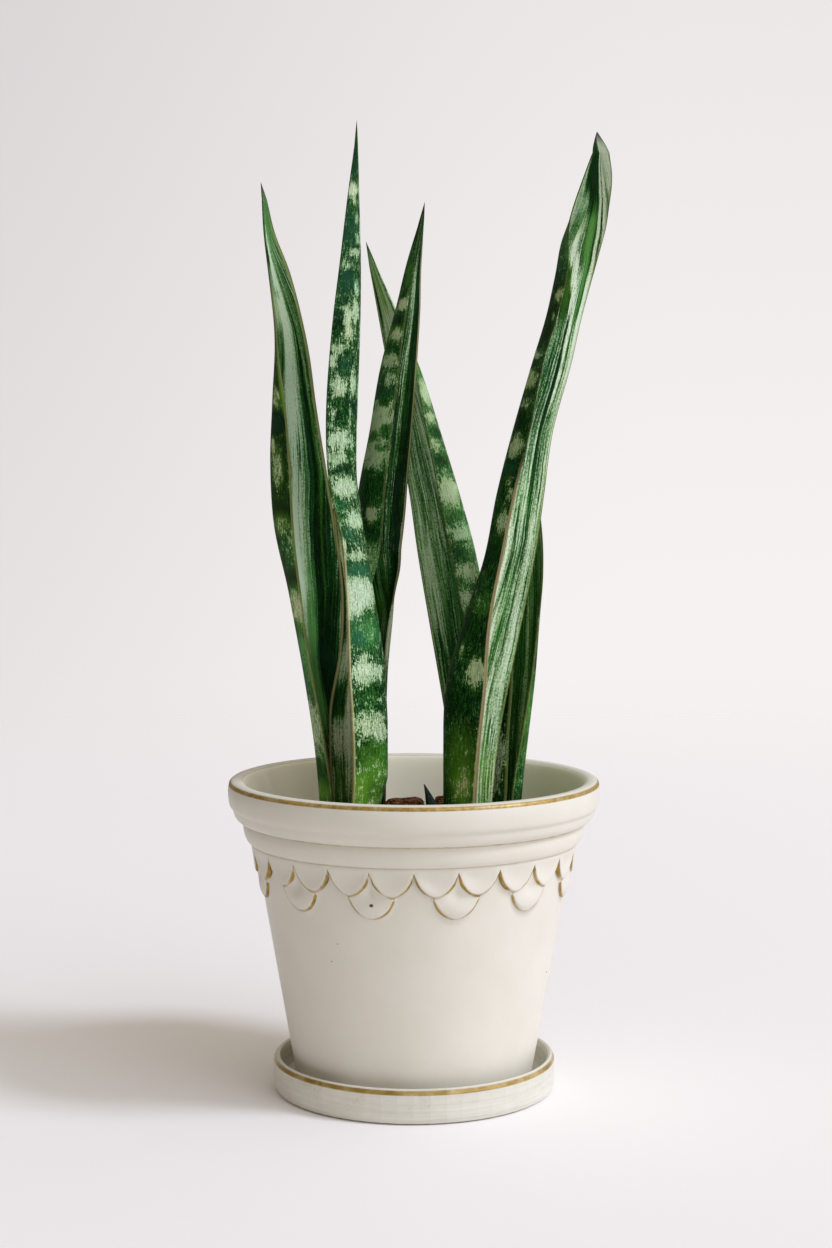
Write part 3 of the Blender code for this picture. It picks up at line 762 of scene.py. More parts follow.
    def build(self) -> None:
        """Make the closed mesh and mount it."""
        leaf, size = self.leaf, self.ring_size
        low, high = self.stops[0], self.stops[-1]
        count = round((high - low) / self.RING_STEP)
        for k in range(count + 1):
            self.add_ring(low + (high - low) * k / count)
        ring = self.rows[-size:]
        for way in self.TIP_STEPS:
            self.add_tip_ring(way, ring)
        end = len(self.rows)
        self.rows.append((*leaf.tip, 0.0, leaf.tip[2], 0.0, 0.0))
        faces = ring_faces(end // size, size)
        faces += [(end - size + j, end - size + (j + 1) % size, end) for j in range(size)]
        faces.append(tuple(range(size))[::-1])
        columns = np.array(self.rows)
        self.across, self.heights, inside, self.gaps = columns[:, 3:].T
        self.inside = inside > 0.0
        low, high = (np.array(corner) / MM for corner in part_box(leaf.name))
        piece = mesh_piece(f"{leaf.name}_blade", np.clip(columns[:, :3], low, high), faces,
                           *(LeafSkin(leaf, side).material for side in Face))
        self.store(piece.data)
        point_attribute(piece, "marks", np.where(self.inside[:, None], self.marks_at(Face.INNER),
                                                 self.marks_at(Face.OUTER)))
        point_attribute(piece, "edges", self.margins())
        mount(piece, "leaf_skin", leaf.name)

    def store(self, mesh: bpy.types.Mesh) -> None:
        """Store the leaf's own coordinates and the face that each polygon belongs to.

        Args:
            mesh: the blade's mesh.
        """
        corners = np.empty(len(mesh.loops), np.int32)
        mesh.loops.foreach_get("vertex_index", corners)
        lanes = np.where(self.inside, self.lanes(Face.INNER), self.across)
        places = np.stack([(lanes + 1.0) / 2.0, self.heights / HEIGHT_SPAN], axis=1)[corners]
        mesh.uv_layers.new(name=PLACE_UV).data.foreach_set("uv", places.astype(np.float32).ravel())
        for polygon in mesh.polygons:
            polygon.material_index = int(all(self.inside[k] for k in polygon.vertices))


LEAF_FOOT = 98.0

LEAVES = (
    LeafSize(
        name="leaf_left",
        cuts=table(
            Station, (LEAF_FOOT, -43.5, 10, 32, 56, 74), (140, -45, 10, 41.6, 55, 72),
            (170, -47.1, 9, 43, 51, 69), (205, -52.7, 8, 38.6, 56, 61), (225, -55.8, 8, 44.5, 54, 63),
            (245, -59.1, 8, 52.5, 53, 66), (275, -66.2, 8, 60, 61, 65), (305, -68.4, 7, 56, 66, 62),
            (335, -67.3, 6, 43.8, 65, 56), (365, -65, 3, 27.7, 52, 49), (395, -67.8, 1, 18.3, 50, 43),
            (415, -70.6, -1, 8.3, 48, 38), (430, -71.8, -2, 3.2, 45, 30),
        ),
        tip=(-73.0, -2.5, 438.8),
        outer=face(
            (378, -0.7, 16, 0.5, -0.6, -0.5), (358, -0.55, 4, 0.3, 0.5, 0, 0.4),
            (343, -0.95, 14, 0.1, -0.2, 0.3, 0.8), (336, -0.6, 5, 0.25, 0.8, 0, 0.5),
            (325, -0.6, 5, 0.5, -0.8, -0.25, -0.2), (314, -0.45, 3, 0.1, 1.2, 0, 0.8),
            (303, -0.62, 9, 0.2, 0.75, 0, 0.5), (304, -0.85, 12, 0.05, -0.6, -0.4),
            (284, -0.6, 4, 0.5, -0.6, -0.3), (276, -0.65, 5, 0.3, 0.5, 0, 0.5),
            (263, -0.85, 9, 0.25, 0.3, 0.35), (250, -0.8, 4, 0.5, -0.6, -0.3),
            (236, -0.8, 9, 0.4, 0.9, 0.2, 0.85), (210, -0.8, 16, 0.45, -0.5, 0.75),
            (212, -0.3, 9, 0.15, -0.6, -0.4), (178, -0.6, 15, 0.45, 0.95, 0.2, 0.2),
            (186, -0.98, 12, 0.06, 0.3, 0.4, -0.3), (155, -0.6, 6, 0.5, -0.6, 0.15),
            (146, -0.6, 5, 0.4, 0.2, 0.3, 0.7),
            wild_low=-0.15, light=0.10, tint=0.08, glow=0.5,
        ),
        inner=face(
            (427, 1.3, 14, 0.9, -0.3, 0.15, -0.1), (403, -0.2, 4, 0.45, -0.9, -0.6),
            (378, -0.1, 9, 0.4, 0.5, 0.3, 0.6), (300, 0.43, 50, 0.09, 0.65, 0.5, -0.1),
            # Painted light: the pale streak at across 0.46 is made brighter for the lit wall; glow below is
            # raised too.
            (388, 0.46, 28, 0.26, 1.15, 0.6, -0.2), (343, 0.46, 26, 0.17, 1.05, 0.55, -0.2),
            (386, 0.40, 3, 0.2, -0.7, -0.3), (410, 0.95, 22, 0.25, 0.0, 0.2),
            (330, 0.60, 70, 0.08, 0.25, 0.25, -0.3), (300, 0.70, 60, 0.05, -0.1, 0.1, -0.2),
            # Painted shade: marks from across 0.82 to the right margin darken the far wall, which lies in
            # shade.
            (290, 0.82, 90, 0.10, -0.6, -0.45), (245, 0.98, 50, 0.20, -0.6, -0.4),
            (200, 1.02, 34, 0.30, -0.9, -0.5), (320, 0.90, 70, 0.03, 0.2, 0.5, 0.3),
            (262, 0.50, 30, 0.15, 0.75, 0.55, 0.2), (220, 0.56, 42, 0.20, -0.4, 0.75),
            (232, 0.44, 30, 0.06, 0.7, 0.3, 0.3), (188, 0.60, 16, 0.2, -0.6, 0.3),
            wild_high=-0.3, pale=-0.14, light=0.46, glow=1.7, fresh=0.4, streaky=True,
        ),
        rims=table(
            Rim, (-1, 140, 400, 0.8, 1.0, 0.8, 0.7), (-1, 235, 365, 1.0, 3.0, 0.75, 0.3),
            (1, 150, 425, 0.8, 1.4, 0.8, 0.5),
        ),
        sway=(
            (140, 0.4), (200, 0.4), (250, 0.25), (270, 0.15), (300, 0.0), (330, 0.0), (370, 0.15),
            (385, 0.35), (400, 0.65), (415, 1.0),
        ),
        seed=1,
    ),
    LeafSize(
        name="leaf_centre_tall",
        cuts=table(
            Station, (LEAF_FOOT, -20.5, -3, 38, -71, 72), (140, -16.4, -4, 53, -71, 70),
            (158, -12.7, -4, 65, -71, 70), (185, -13.4, -5, 64, -72, 69), (212, -14.6, -7, 54, -80, 69),
            (240, -18.8, -9, 41.8, -83, 66), (270, -23.5, -11, 37.6, -82, 62),
            (285, -25.5, -12, 38.6, -88, 61), (300, -27.3, -13, 37.2, -94, 59),
            (335, -27.2, -15, 32.3, -112, 56), (370, -26.1, -15, 28.2, -115, 52),
            (400, -25.7, -14, 21.1, -116, 46), (430, -26.2, -12, 12.1, -115, 40),
            (455, -26.5, -10, 3.2, -115, 34),
        ),
        tip=(-27.0, -9.5, 467.0),
        outer=face(
            (450, 0.6, 9, 0.6, -0.6, -0.1), (433.5, 0.65, 2.6, 0.5, 1.5, 0.2, 0.85),
            (429, 0.45, 2, 0.15, 0.9, 0, 0.75), (416, 0.6, 10, 0.5, -0.4, -0.1, -0.2),
            (420, 0.25, 3, 0.15, 0.9, 0, -0.1), (411, 0.2, 3, 0.15, 0.7, 0, -0.1),
            (404, 0.3, 1.3, 0.4, 1.0, 0, 0.3), (398, 0.75, 2.5, 0.16, 0.6, 0, -0.1),
            (391, 0.6, 5, 0.5, -0.5, -0.05, -0.2), (388, 0.2, 4, 0.15, 0.7, 0.2, -0.3),
            (377, 0.18, 5, 0.15, 0.9, 0.2, 0.1), (374, 0.5, 5, 0.16, 0.95, 0.1, 0.4),
            (366, 0.42, 4, 0.14, 0.7, 0, 0.5), (370, 0.85, 7, 0.2, -0.4, -0.25),
            (359, 0.75, 2.2, 0.2, 0.9, 0, 0.1), (353, 0.9, 2.5, 0.12, 1.0, 0, 0.1),
            (351, 0.5, 5, 0.2, -0.3, -0.15, -0.2), (341, 0.66, 4.5, 0.22, 1.0, 0.15, 0.15),
            (343, 0.2, 6, 0.12, 0.7, 0.3), (330, 0.45, 6, 0.5, -0.35, -0.15),
            (329, 0.82, 3, 0.1, 0.8, 0, 0.1), (328, 0.3, 6, 0.06, 0.7, 0.3),
            (316, 0.62, 4.5, 0.36, 0.9, 0.15, 0.05), (307, 0.75, 3, 0.3, 0.75),
            (303, 0.45, 3, 0.25, -0.4, -0.2), (294, 0.55, 5, 0.4, 0.95, 0.1),
            (285, 0.85, 3, 0.2, -0.2, 0.1, -0.25), (278, 0.45, 5, 0.3, 0.8, 0.2, -0.1),
            (272, 0.75, 4, 0.2, -0.2, 0.05, -0.3), (262, 0.6, 3.5, 0.3, 0.5, 0, 0.15),
            (266, 0.94, 3, 0.05, 0.9, 0, 0.9), (254, 0.6, 4, 0.45, -0.3, 0.1, -0.5),
            (244, 0.62, 7, 0.48, 1.45, 0.3), (236, 0.85, 4, 0.25, 0.9, 0.2),
            (225, 0.6, 8, 0.5, -0.15, 0.50, -0.25), (222, 0.75, 4, 0.15, -0.3, -0.25, -0.3),
            (207, 0.72, 7, 0.22, 1.0, 0.2, 0.2), (206, 0.38, 3, 0.12, 1.0, 0.2),
            (196, 0.6, 3, 0.45, -0.3, 0.0, 0.1), (181, 0.68, 6, 0.34, 0.68, 0.1, 0.4),
            (176, 0.42, 4, 0.15, 0.7, 0, 0.2), (168, 0.6, 5, 0.5, -0.3, 0.2, 0.35),
            (156, 0.6, 8, 0.45, 0.0, 0.4, 0.8), (146, 0.9, 10, 0.2, 0.0, 0.5, 1.1),
            (143, 0.5, 5, 0.3, 0.0, 0.1, 0.8),
            wild_high=0.0, pale=-0.33, light=0.14, tint=-0.06, glow=0.4,
        ),
        inner=face(
            (275, -0.9, 12, 0.14, 0.1, 0.3, 0.2), (262, -0.85, 5, 0.14, 0.5, 0.4, 0.9),
            (240, -0.82, 30, 0.08, 1.3, 0.5, 0.4), (190, -0.70, 40, 0.06, 1.2, 0.4, 0.6),
            (235, -0.96, 18, 0.08, -0.6, -0.4), (208, -0.92, 10, 0.16, 0.5, 0.3, 0.2),
            (188, -0.88, 9, 0.14, -0.6, -0.2), (172, -0.85, 10, 0.14, 0.9, 0.3, 0.4),
            (150, -0.85, 12, 0.2, 0.2, 0.3, 0.5),
            wild_low=-0.5, pale=-0.3, light=0.4, glow=0.8, streaky=True,
        ),
        rims=table(
            Rim, (1, 90, 275, 0.75, 1.1, 0.35, 0.9), (1, 255, 300, 0.4, 1.1, 0.8),
            (-1, 90, 300, 0.9, 1.2, 0.4),
        ),
        seed=2,
    ),
    LeafSize(
        name="leaf_centre_right",
        cuts=table(
            Station, (LEAF_FOOT, -29, 35, 36, 40, 100), (140, -29.3, 35, 42, 35, 110),
            (200, -24.7, 30, 50, 19, 128), (230, -22.8, 28, 54, 16, 124), (245, -25.4, 27, 48.5, 34, 113),
            (260, -27.3, 26, 47.5, 60, 97), (272, -27.3, 25.3, 51, 69, 85), (290, -27, 24, 59, 75, 70),
            (320, -21.3, 18.5, 54, 76, 62), (350, -16.2, 14, 48, 77, 59), (380, -8.4, 10.5, 33.5, 77, 51),
            (400, -3.7, 8, 23, 80, 47), (418, 1.8, 5, 8, 75, 38),
        ),
        tip=(5.2, 4.0, 430.2),
        outer=face(
            (420, -0.5, 9, 0.8, -0.9, -0.4), (395, -0.75, 7, 0.25, -0.5, 0.25, 0.2),
            (381, -0.8, 2.4, 0.3, 1.4, 0.3, 0.85), (373, -0.7, 3, 0.5, -0.7, -0.2),
            (367, -0.75, 4, 0.3, 0.75, 0.1, 0.5), (361, -0.5, 2.5, 0.2, -0.5, -0.2),
            (354, -0.65, 3, 0.35, 0.9, 0.1, 0.35), (345, -0.8, 4, 0.2, 0.6, 0.2),
            (339, -0.5, 3, 0.4, -0.6, -0.1, -0.3), (326, -0.62, 9, 0.42, 0.98, 0.8, 0.15),
            (309, -0.62, 7, 0.42, 0.92, 0.75, 0.15), (321, -0.85, 1.6, 0.16, -1.6, -0.5),
            (318, -0.5, 1.6, 0.16, -1.7, -0.5), (313, -0.75, 1.3, 0.12, -1.4, -0.4),
            (334, -0.7, 1.6, 0.14, -1.2, -0.4), (293, -0.65, 7, 0.5, -0.9, -0.05),
            (280, -0.75, 5, 0.12, 1.15, 0.2, 0.7), (271, -0.8, 5, 0.3, -0.6, -0.05),
            (257, -0.75, 10, 0.3, 0.4, 0.8, 0.1), (222, 0.88, 16, 0.2, 1.2, 0.5, 0.35),
            wild_low=-0.15, wild_high=0.6, pale=-0.45, light=0.34, tint=0.0, glow=0.3,
        ),
        inner=face(
            (392, 0.66, 14, 0.05, 0.35, 0.2, 0.1), (350, 0.72, 45, 0.08, 0.3, 0.12, 0.1),
            (290, 0.68, 45, 0.09, 0.1, 0.18), (245, 0.58, 18, 0.08, 0, 0.3, 0.2),
            (232, 0.35, 10, 0.16, 0, 0.35, 0.3), (330, 0.55, 60, 0.06, -0.3, -0.05),
            (340, 0.88, 100, 0.08, -0.6, -0.3), (250, 0.25, 25, 0.12, -0.4, -0.1),
            (222, 0.5, 8, 0.2, 0.5, 0.5),
            # Partly painted shade: light is set low and the marks near the far margin are dark, as this face
            # lies in shade.
            wild_high=0.1, pale=-0.45, light=0.12, tint=0.0, glow=0.6, streaky=True,
        ),
        rims=table(
            Rim, (-1, 90, 400, 0.4, 0.8, 0.8), (1, 90, 420, 0.6, 0.8, 0.3),
        ),
        crease=1.2, seed=3,
    ),
    LeafSize(
        name="leaf_crossing",
        cuts=table(
            Station, (LEAF_FOOT, 40, 46, 34, -60, 74), (140, 41, 46, 42, -60, 74),
            (185, 38.9, 46, 52.4, -60, 70), (230, 34.7, 45, 60.6, -62, 68), (260, 29.8, 44, 61.8, -65, 67),
            (290, 21.7, 43.5, 54, -66, 63), (320, 12.4, 46, 44.2, -63, 60), (350, 2.5, 46.5, 33, -57, 56),
            (380, -9.4, 44, 18.8, -55, 49), (398, -17.1, 42, 9.2, -56, 44),
        ),
        tip=(-23.9, 40.3, 414.8),
        outer=face(
            (398, 0.6, 8, 0.5, 0.6, 0, 0.5), (385, 0.6, 6, 0.4, 0.8, 0, 0.1),
            (352, 0.6, 3, 0.4, -0.1, 0.1, 0.3), (340, 0.65, 6, 0.3, 1.2, 0.3, 0.3),
            (328, 0.7, 3, 0.3, 0.8, 0.1, 0.3), (320, 0.6, 2, 0.3, -0.6, -0.35),
            (314, 0.8, 3, 0.2, 0.7, 0, 0.3), (306, 0.6, 3, 0.3, -0.6, -0.3),
            (291, 0.65, 7, 0.32, 1.3, 0.3, 0.35), (279, 0.65, 3, 0.3, -0.4, -0.1),
            (271, 0.6, 4, 0.35, 0.9, 0.2), (260, 0.8, 4, 0.25, -0.4, -0.1),
            (251, 0.65, 5, 0.35, 0.65, 0.25, 0.3), (238, 0.85, 5, 0.25, 0.6, 0, 0.4),
            wild_high=0.12, pale=-0.36, light=0.54, glow=0.25, fresh=0.3,
        ),
        inner=face(
            (398, 0.1, 9, 0.9, -0.3, 1.0, 1.3), (384, -0.3, 8, 0.4, -0.1, 0.9, 1.0),
            (384, 0.15, 2.5, 0.3, -0.9, -0.3), (374, -0.5, 8, 0.25, 0.5, 0.6, 0.6),
            (387, -0.87, 12, 0.06, -1.6, -0.8), (350, -0.25, 12, 0.2, 0.3, 0.3, 0.3),
            (285, -0.88, 50, 0.05, 0.65, 0.4), (240, -0.80, 40, 0.05, 0.5, 0.4),
            (230, -0.97, 40, 0.05, 0.3, 0.3), (315, -0.42, 28, 0.05, 0.6, 0.4),
            (320, -0.62, 30, 0.10, 0, 0.1), (260, -0.62, 60, 0.12, -0.10, 0.05),
            (250, -0.45, 60, 0.06, -0.4, -0.1), (205, -0.75, 20, 0.25, -0.5, -0.3),
            # Painted light: light, pale and glow are set high so that this face, turned from the lamps, shows
            # bright.
            wild_low=-0.3, pale=0.02, light=0.68, tint=-0.08, glow=1.5, fresh=0.4, streaky=True,
        ),
        rims=table(
            Rim, (-1, 90, 400, 0.3, 0.8, 0.8), (1, 90, 400, 0.3, 0.8, 0.6),
        ),
        seed=4,
    ),
    LeafSize(
        name="leaf_right_broad",
        cuts=table(
            Station, (LEAF_FOOT, 17, -3, 40, 70, 78), (140, 14.5, -2, 53.4, 72, 76),
            (170, 14.4, -1, 61.2, 72, 75), (200, 16.6, 0, 68, 70, 74), (230, 25.6, 2, 59.4, 62, 70),
            (260, 35.5, 3, 50, 57, 67), (290, 41, 4, 48.4, 61, 64), (320, 48.2, 5, 43.2, 65, 60),
            (353, 58, 5, 39.7, 59, 56), (375, 64.4, 5, 37, 61, 55), (395, 68.8, 4, 38.6, 60, 56),
            (410, 72.3, 2, 37.5, 50, 57), (425, 80.2, 0, 26.6, 26, 55), (440, 85.8, -1, 18.5, 15, 50),
            (452, 88.3, -2, 10, 10, 45),
        ),
        tip=(87.0, -2.0, 462.5),
        outer=face(
            (406, -0.8, 13, 0.35, 0.1, 0.4, -0.15), (385, -0.85, 2.6, 0.2, 1.3, 0.2, 0.75),
            (374.5, -0.82, 2.0, 0.1, 1.2, 0.3, 0.2), (369, -0.5, 7, 0.6, -0.9, -0.05),
            (357, -0.5, 1.6, 0.5, 1.2, 0.0, -0.1), (345, -0.5, 4.4, 0.4, 1.2, 0.05, 0.55),
            (333, -0.6, 2.0, 0.3, 0.8, 0.0, 0.2), (326, -0.5, 4, 0.5, -0.7, -0.1),
            (313, -0.6, 5.5, 0.28, 1.1, 0.05, 0.45), (303, -0.5, 3, 0.4, -0.5, 0.05, -0.25),
            (297, -0.72, 2.5, 0.1, 0.8, 0, 0.3), (290, -0.85, 3, 0.12, 0.8, 0, 0.3),
            (277, -0.78, 6.5, 0.2, 0.9, 0.1, 0.3), (262, -0.6, 6, 0.5, -0.6, 0.02),
            (237, -0.7, 4, 0.3, 0.3, 0.1, 0.2), (226, -0.6, 6, 0.4, -0.6, -0.05),
            (216, -0.45, 4, 0.06, 0.9, 0, 0.5), (206, -0.82, 7, 0.18, 1.1, 0.2, 0.35),
            (192, -0.5, 5, 0.4, -0.6, -0.05), (160, -0.62, 18, 0.34, 0.12, 0.10, 0.55),
            (150, -0.72, 9, 0.2, 0.45, 0.15, 0.8), (150, -0.97, 25, 0.03, 1.5, 0.5, 1.0),
            (170, -0.1, 30, 0.2, 0, 0.3),
            wild_low=-0.05, light=0.12, pale=-0.62, tint=0.02, glow=0.0,
        ),
        inner=face(
            (460, 1.7, 6, 0.9, 0.8, 0.4, 0.7), (446, 1.75, 18, 0.5, 0.75, 0.45, 0.35),
            # Painted shade: the dark marks below the tip stand for the shade on the near wall and along the
            # keel.
            (446, 0.45, 12, 0.55, -1.2, -0.75), (431, 0.75, 8, 0.2, -1.0, -0.45),
            (414, 0.84, 13, 0.14, -1.0, 0.5, 0.2), (392, 0.88, 16, 0.07, -1.1, 0.2, 0.1),
            (410, 0.96, 14, 0.03, -1.2, -0.8), (416, 0.30, 12, 0.28, -0.4, 0.1),
            (418, 0.52, 6, 0.08, 0.3, 0.4, 0.2), (408, 0.46, 8, 0.08, 1.3, 0.4, 0.5),
            (397, 0.60, 8, 0.07, 1.4, 0.4, 0.5), (385, 0.69, 9, 0.055, 1.4, 0.4, 0.4),
            (366, 0.76, 13, 0.05, 1.3, 0.4, 0.3), (343, 0.80, 14, 0.03, 1.2, 0.4, 0.2),
            (388, 0.80, 14, 0.03, 0.5, 0.4, -0.5), (430, 1.03, 26, 0.05, 1.9, 0.5, 0.3),
            (380, 1.00, 36, 0.05, 1.4, 0.5, 0.1), (420, 1.10, 24, 0.03, -0.6, -0.3),
            (425, 1.20, 24, 0.06, 0.7, 0.4), (430, 1.34, 24, 0.04, -0.6, -0.1, -0.3),
            (350, 0.70, 50, 0.03, -0.9, -0.5), (320, 0.84, 40, 0.03, -0.8, -0.4),
            (388, 0.50, 14, 0.14, -0.6, -0.25, 0.3), (350, 0.55, 45, 0.18, -0.35, -0.12, -0.1),
            (300, 0.62, 40, 0.05, 0.4, 0.2), (285, 0.86, 60, 0.05, 0.5, 0.25),
            (305, 0.74, 40, 0.04, -0.4, -0.25), (262, 0.52, 30, 0.05, -0.3, -0.2),
            (320, 0.97, 50, 0.05, 0.5, 0.3), (230, 0.68, 40, 0.06, -0.25, 0.1),
            (205, 0.90, 35, 0.06, 0.5, 0.2), (190, 0.80, 40, 0.05, -0.3, 0.1, 0.2),
            (150, 0.90, 16, 0.3, 0, 0.2, 0.6), (250, 0.43, 28, 0.04, 1.0, 0.3, 0.8),
            (208, 0.56, 28, 0.04, 1.0, 0.3, 0.8), (170, 0.69, 35, 0.04, 1.0, 0.3, 0.9),
            wild_high=0.0, pale=0.1, light=0.46, glow=1.1, fresh=0.15, streaky=True,
        ),
        rims=table(
            Rim, (-1, 90, 310, 1.0, 1.5, 0.1, 0.8), (-1, 60, 215, 1.0, 2.1, 0.15, 0.8),
            (-1, 290, 450, 0.5, 1.2, 0.7, 0.1), (1, 90, 450, 0.35, 1.0, 0.9),
        ),
        sway=(
            (340, 0.0), (370, 0.02), (400, 0.1), (415, 0.2), (430, 0.4), (440, 0.7), (450, 1.0), (465, 1.4),
        ),
        tip_fullness=1.3, seed=5,
    ),
    LeafSize(
        name="leaf_right_back",
        cuts=table(
            Station, (LEAF_FOOT, 43, 31, 42, 10, 150), (140, 43, 32, 54, 12, 160), (170, 45, 32, 54, 14, 150),
            (200, 48, 31, 50, 16, 140), (230, 49.5, 30, 44, 20, 125), (258, 51, 28, 32, 30, 100),
            (280, 54.5, 24, 17, 40, 80),
        ),
        tip=(60.0, 19.0, 297.0),
        outer=face(
            (190, 0.85, 9, 0.2, -0.1, 0.25, 0.2), (178, 0.9, 6, 0.15, 0.1, 0.3, 0.3),
            (165, 0.8, 8, 0.2, 0.15, 0.25, 0.2), (150, 0.85, 8, 0.2, 0.2, 0.3),
            (190, -0.9, 20, 0.12, -0.2, -0.2), (165, -0.85, 10, 0.15, 0.9, 0.2),
            (150, -0.75, 10, 0.15, 0.8, 0.2, 0.3),
            wild_low=-0.55, wild_high=0.6, light=0.12, pale=-0.65, glow=0.8,
        ),
        inner=face(
            (250, 0.45, 30, 0.08, 0, 0.5, 0.2), (200, 0.2, 40, 0.12, -0.3, -0.1),
            (190, 0.38, 40, 0.05, 0.5, 0.3, 0.5), (200, 0.6, 40, 0.08, -0.6, -0.3),
            (170, 0.7, 25, 0.08, 0.3, 0.4, 0.3),
            wild_high=0.0, pale=-0.3, light=0.42, tint=0.1, glow=0.8, streaky=True,
        ),
        rims=table(
            Rim, (-1, 90, 290, 0.8, 1.3, 0.9), (1, 90, 290, 0.6, 1.0, 0.9),
        ),
        crease=0.6, keel_thickness=2.6, seed=6,
    ),
)


@dataclass(frozen=True)
class PotSize:
    """Sizes of the pot, its rim and its frieze."""

    bottom: float = 5.3
    foot_radius: float = 57.4
    foot_width: float = 8.0
    foot_recess: float = 2.0
    flare: float = 0.1735
    wall: float = 6.0
    floor_top: float = 13.5
    drain: float = 8.0
    scallops: int = 24
    frieze_top: float = 121.9
    cusp: float = 119.0
    scallop_low: float = 108.0
    tab_low: float = 97.2
    tab_width: float = 1.13
    scallop_relief: float = 2.1
    scallop_hollow: float = 1.2
    hollow_width: float = 0.8
    tab_relief: float = 1.2
    scallop_fullness: float = 1.8
    tab_fullness: float = 1.95
    columns: int = 20


@dataclass(frozen=True)
class GlazeColours:
    """Colours of the glaze and the gilding."""

    glaze: Colour = srgb(231, 227, 215)
    shade: Colour = srgb(220, 216, 201)
    gold: Colour = srgb(196, 164, 80)
    dark_gold: Colour = srgb(112, 90, 36)
    # Painted light: the inside of the pot is coloured lighter than the outer glaze, lifting its dim inner wall.
    inside: Colour = srgb(255, 249, 224)
    saucer: Colour = srgb(225, 222, 209)
    saucer_grey: Colour = srgb(200, 198, 182)
    saucer_dust: Colour = srgb(168, 150, 116)
    pit: Colour = srgb(70, 58, 40)


GLAZE = GlazeColours()


class Pit(NamedTuple):
    """A small dark hole in the glaze: degrees to the right of the front, height and radius."""

    turn: float
    height: float
    radius: float


PITS = table(Pit, (-15.1, 104.2, 1.25), (-33.3, 74.8, 0.4), (-29.8, 83.8, 0.35), (72.0, 61.0, 0.45))

# Radius and height from the top of the lip, over the ledge, to the start of the frieze.
LIP = (
    (84.0, 152.0), (84.9, 152.35), (86.3, 152.5), (87.6, 152.4), (88.6, 152.1), (89.3, 151.6),
    (89.75, 151.05), (89.9, 150.5), (90.1, 149.6), (90.4, 147.5), (90.35, 145.4), (90.2, 143.5),
    (89.9, 141.6), (89.5, 140.2), (88.9, 139.4), (88.2, 138.9), (87.9, 137.6), (87.4, 135.8), (86.7, 134.5),
    (85.8, 133.6), (84.9, 133.0), (83.8, 132.6), (83.1, 132.45), (82.75, 132.15), (82.85, 131.6),
    (83.0, 130.6), (83.0, 129.4), (82.9, 128.0), (82.6, 126.6), (82.15, 125.2), (81.6, 124.0), (81.0, 123.1),
    (80.5, 122.6), (80.1, 122.3), (79.6, 122.1),
)

# Radius and height up the inside of the rim.
LIP_INSIDE = (
    (74.6, 126.5), (76.4, 132.0), (78.4, 139.0), (80.6, 146.0), (81.6, 148.6), (82.4, 150.4), (83.1, 151.4),
)

# A hanging edge rounded off: distance up from it and the share of the relief that stands there.
ROUNDED_EDGE = ((1.2, 0.98), (0.8, 0.92), (0.5, 0.81), (0.28, 0.66), (0.12, 0.46), (0.03, 0.24), (-0.05, 0.0))


class Swell(NamedTuple):
    """A soft rise or dent in a tab: its relief, reach across, height and reach up and down."""

    relief: float
    wide: float
    height: float
    tall: float


SWELLS = table(Swell, (0.9, 0.65, 102.5, 3.8), (-1.1, 0.36, 109.5, 3.4))


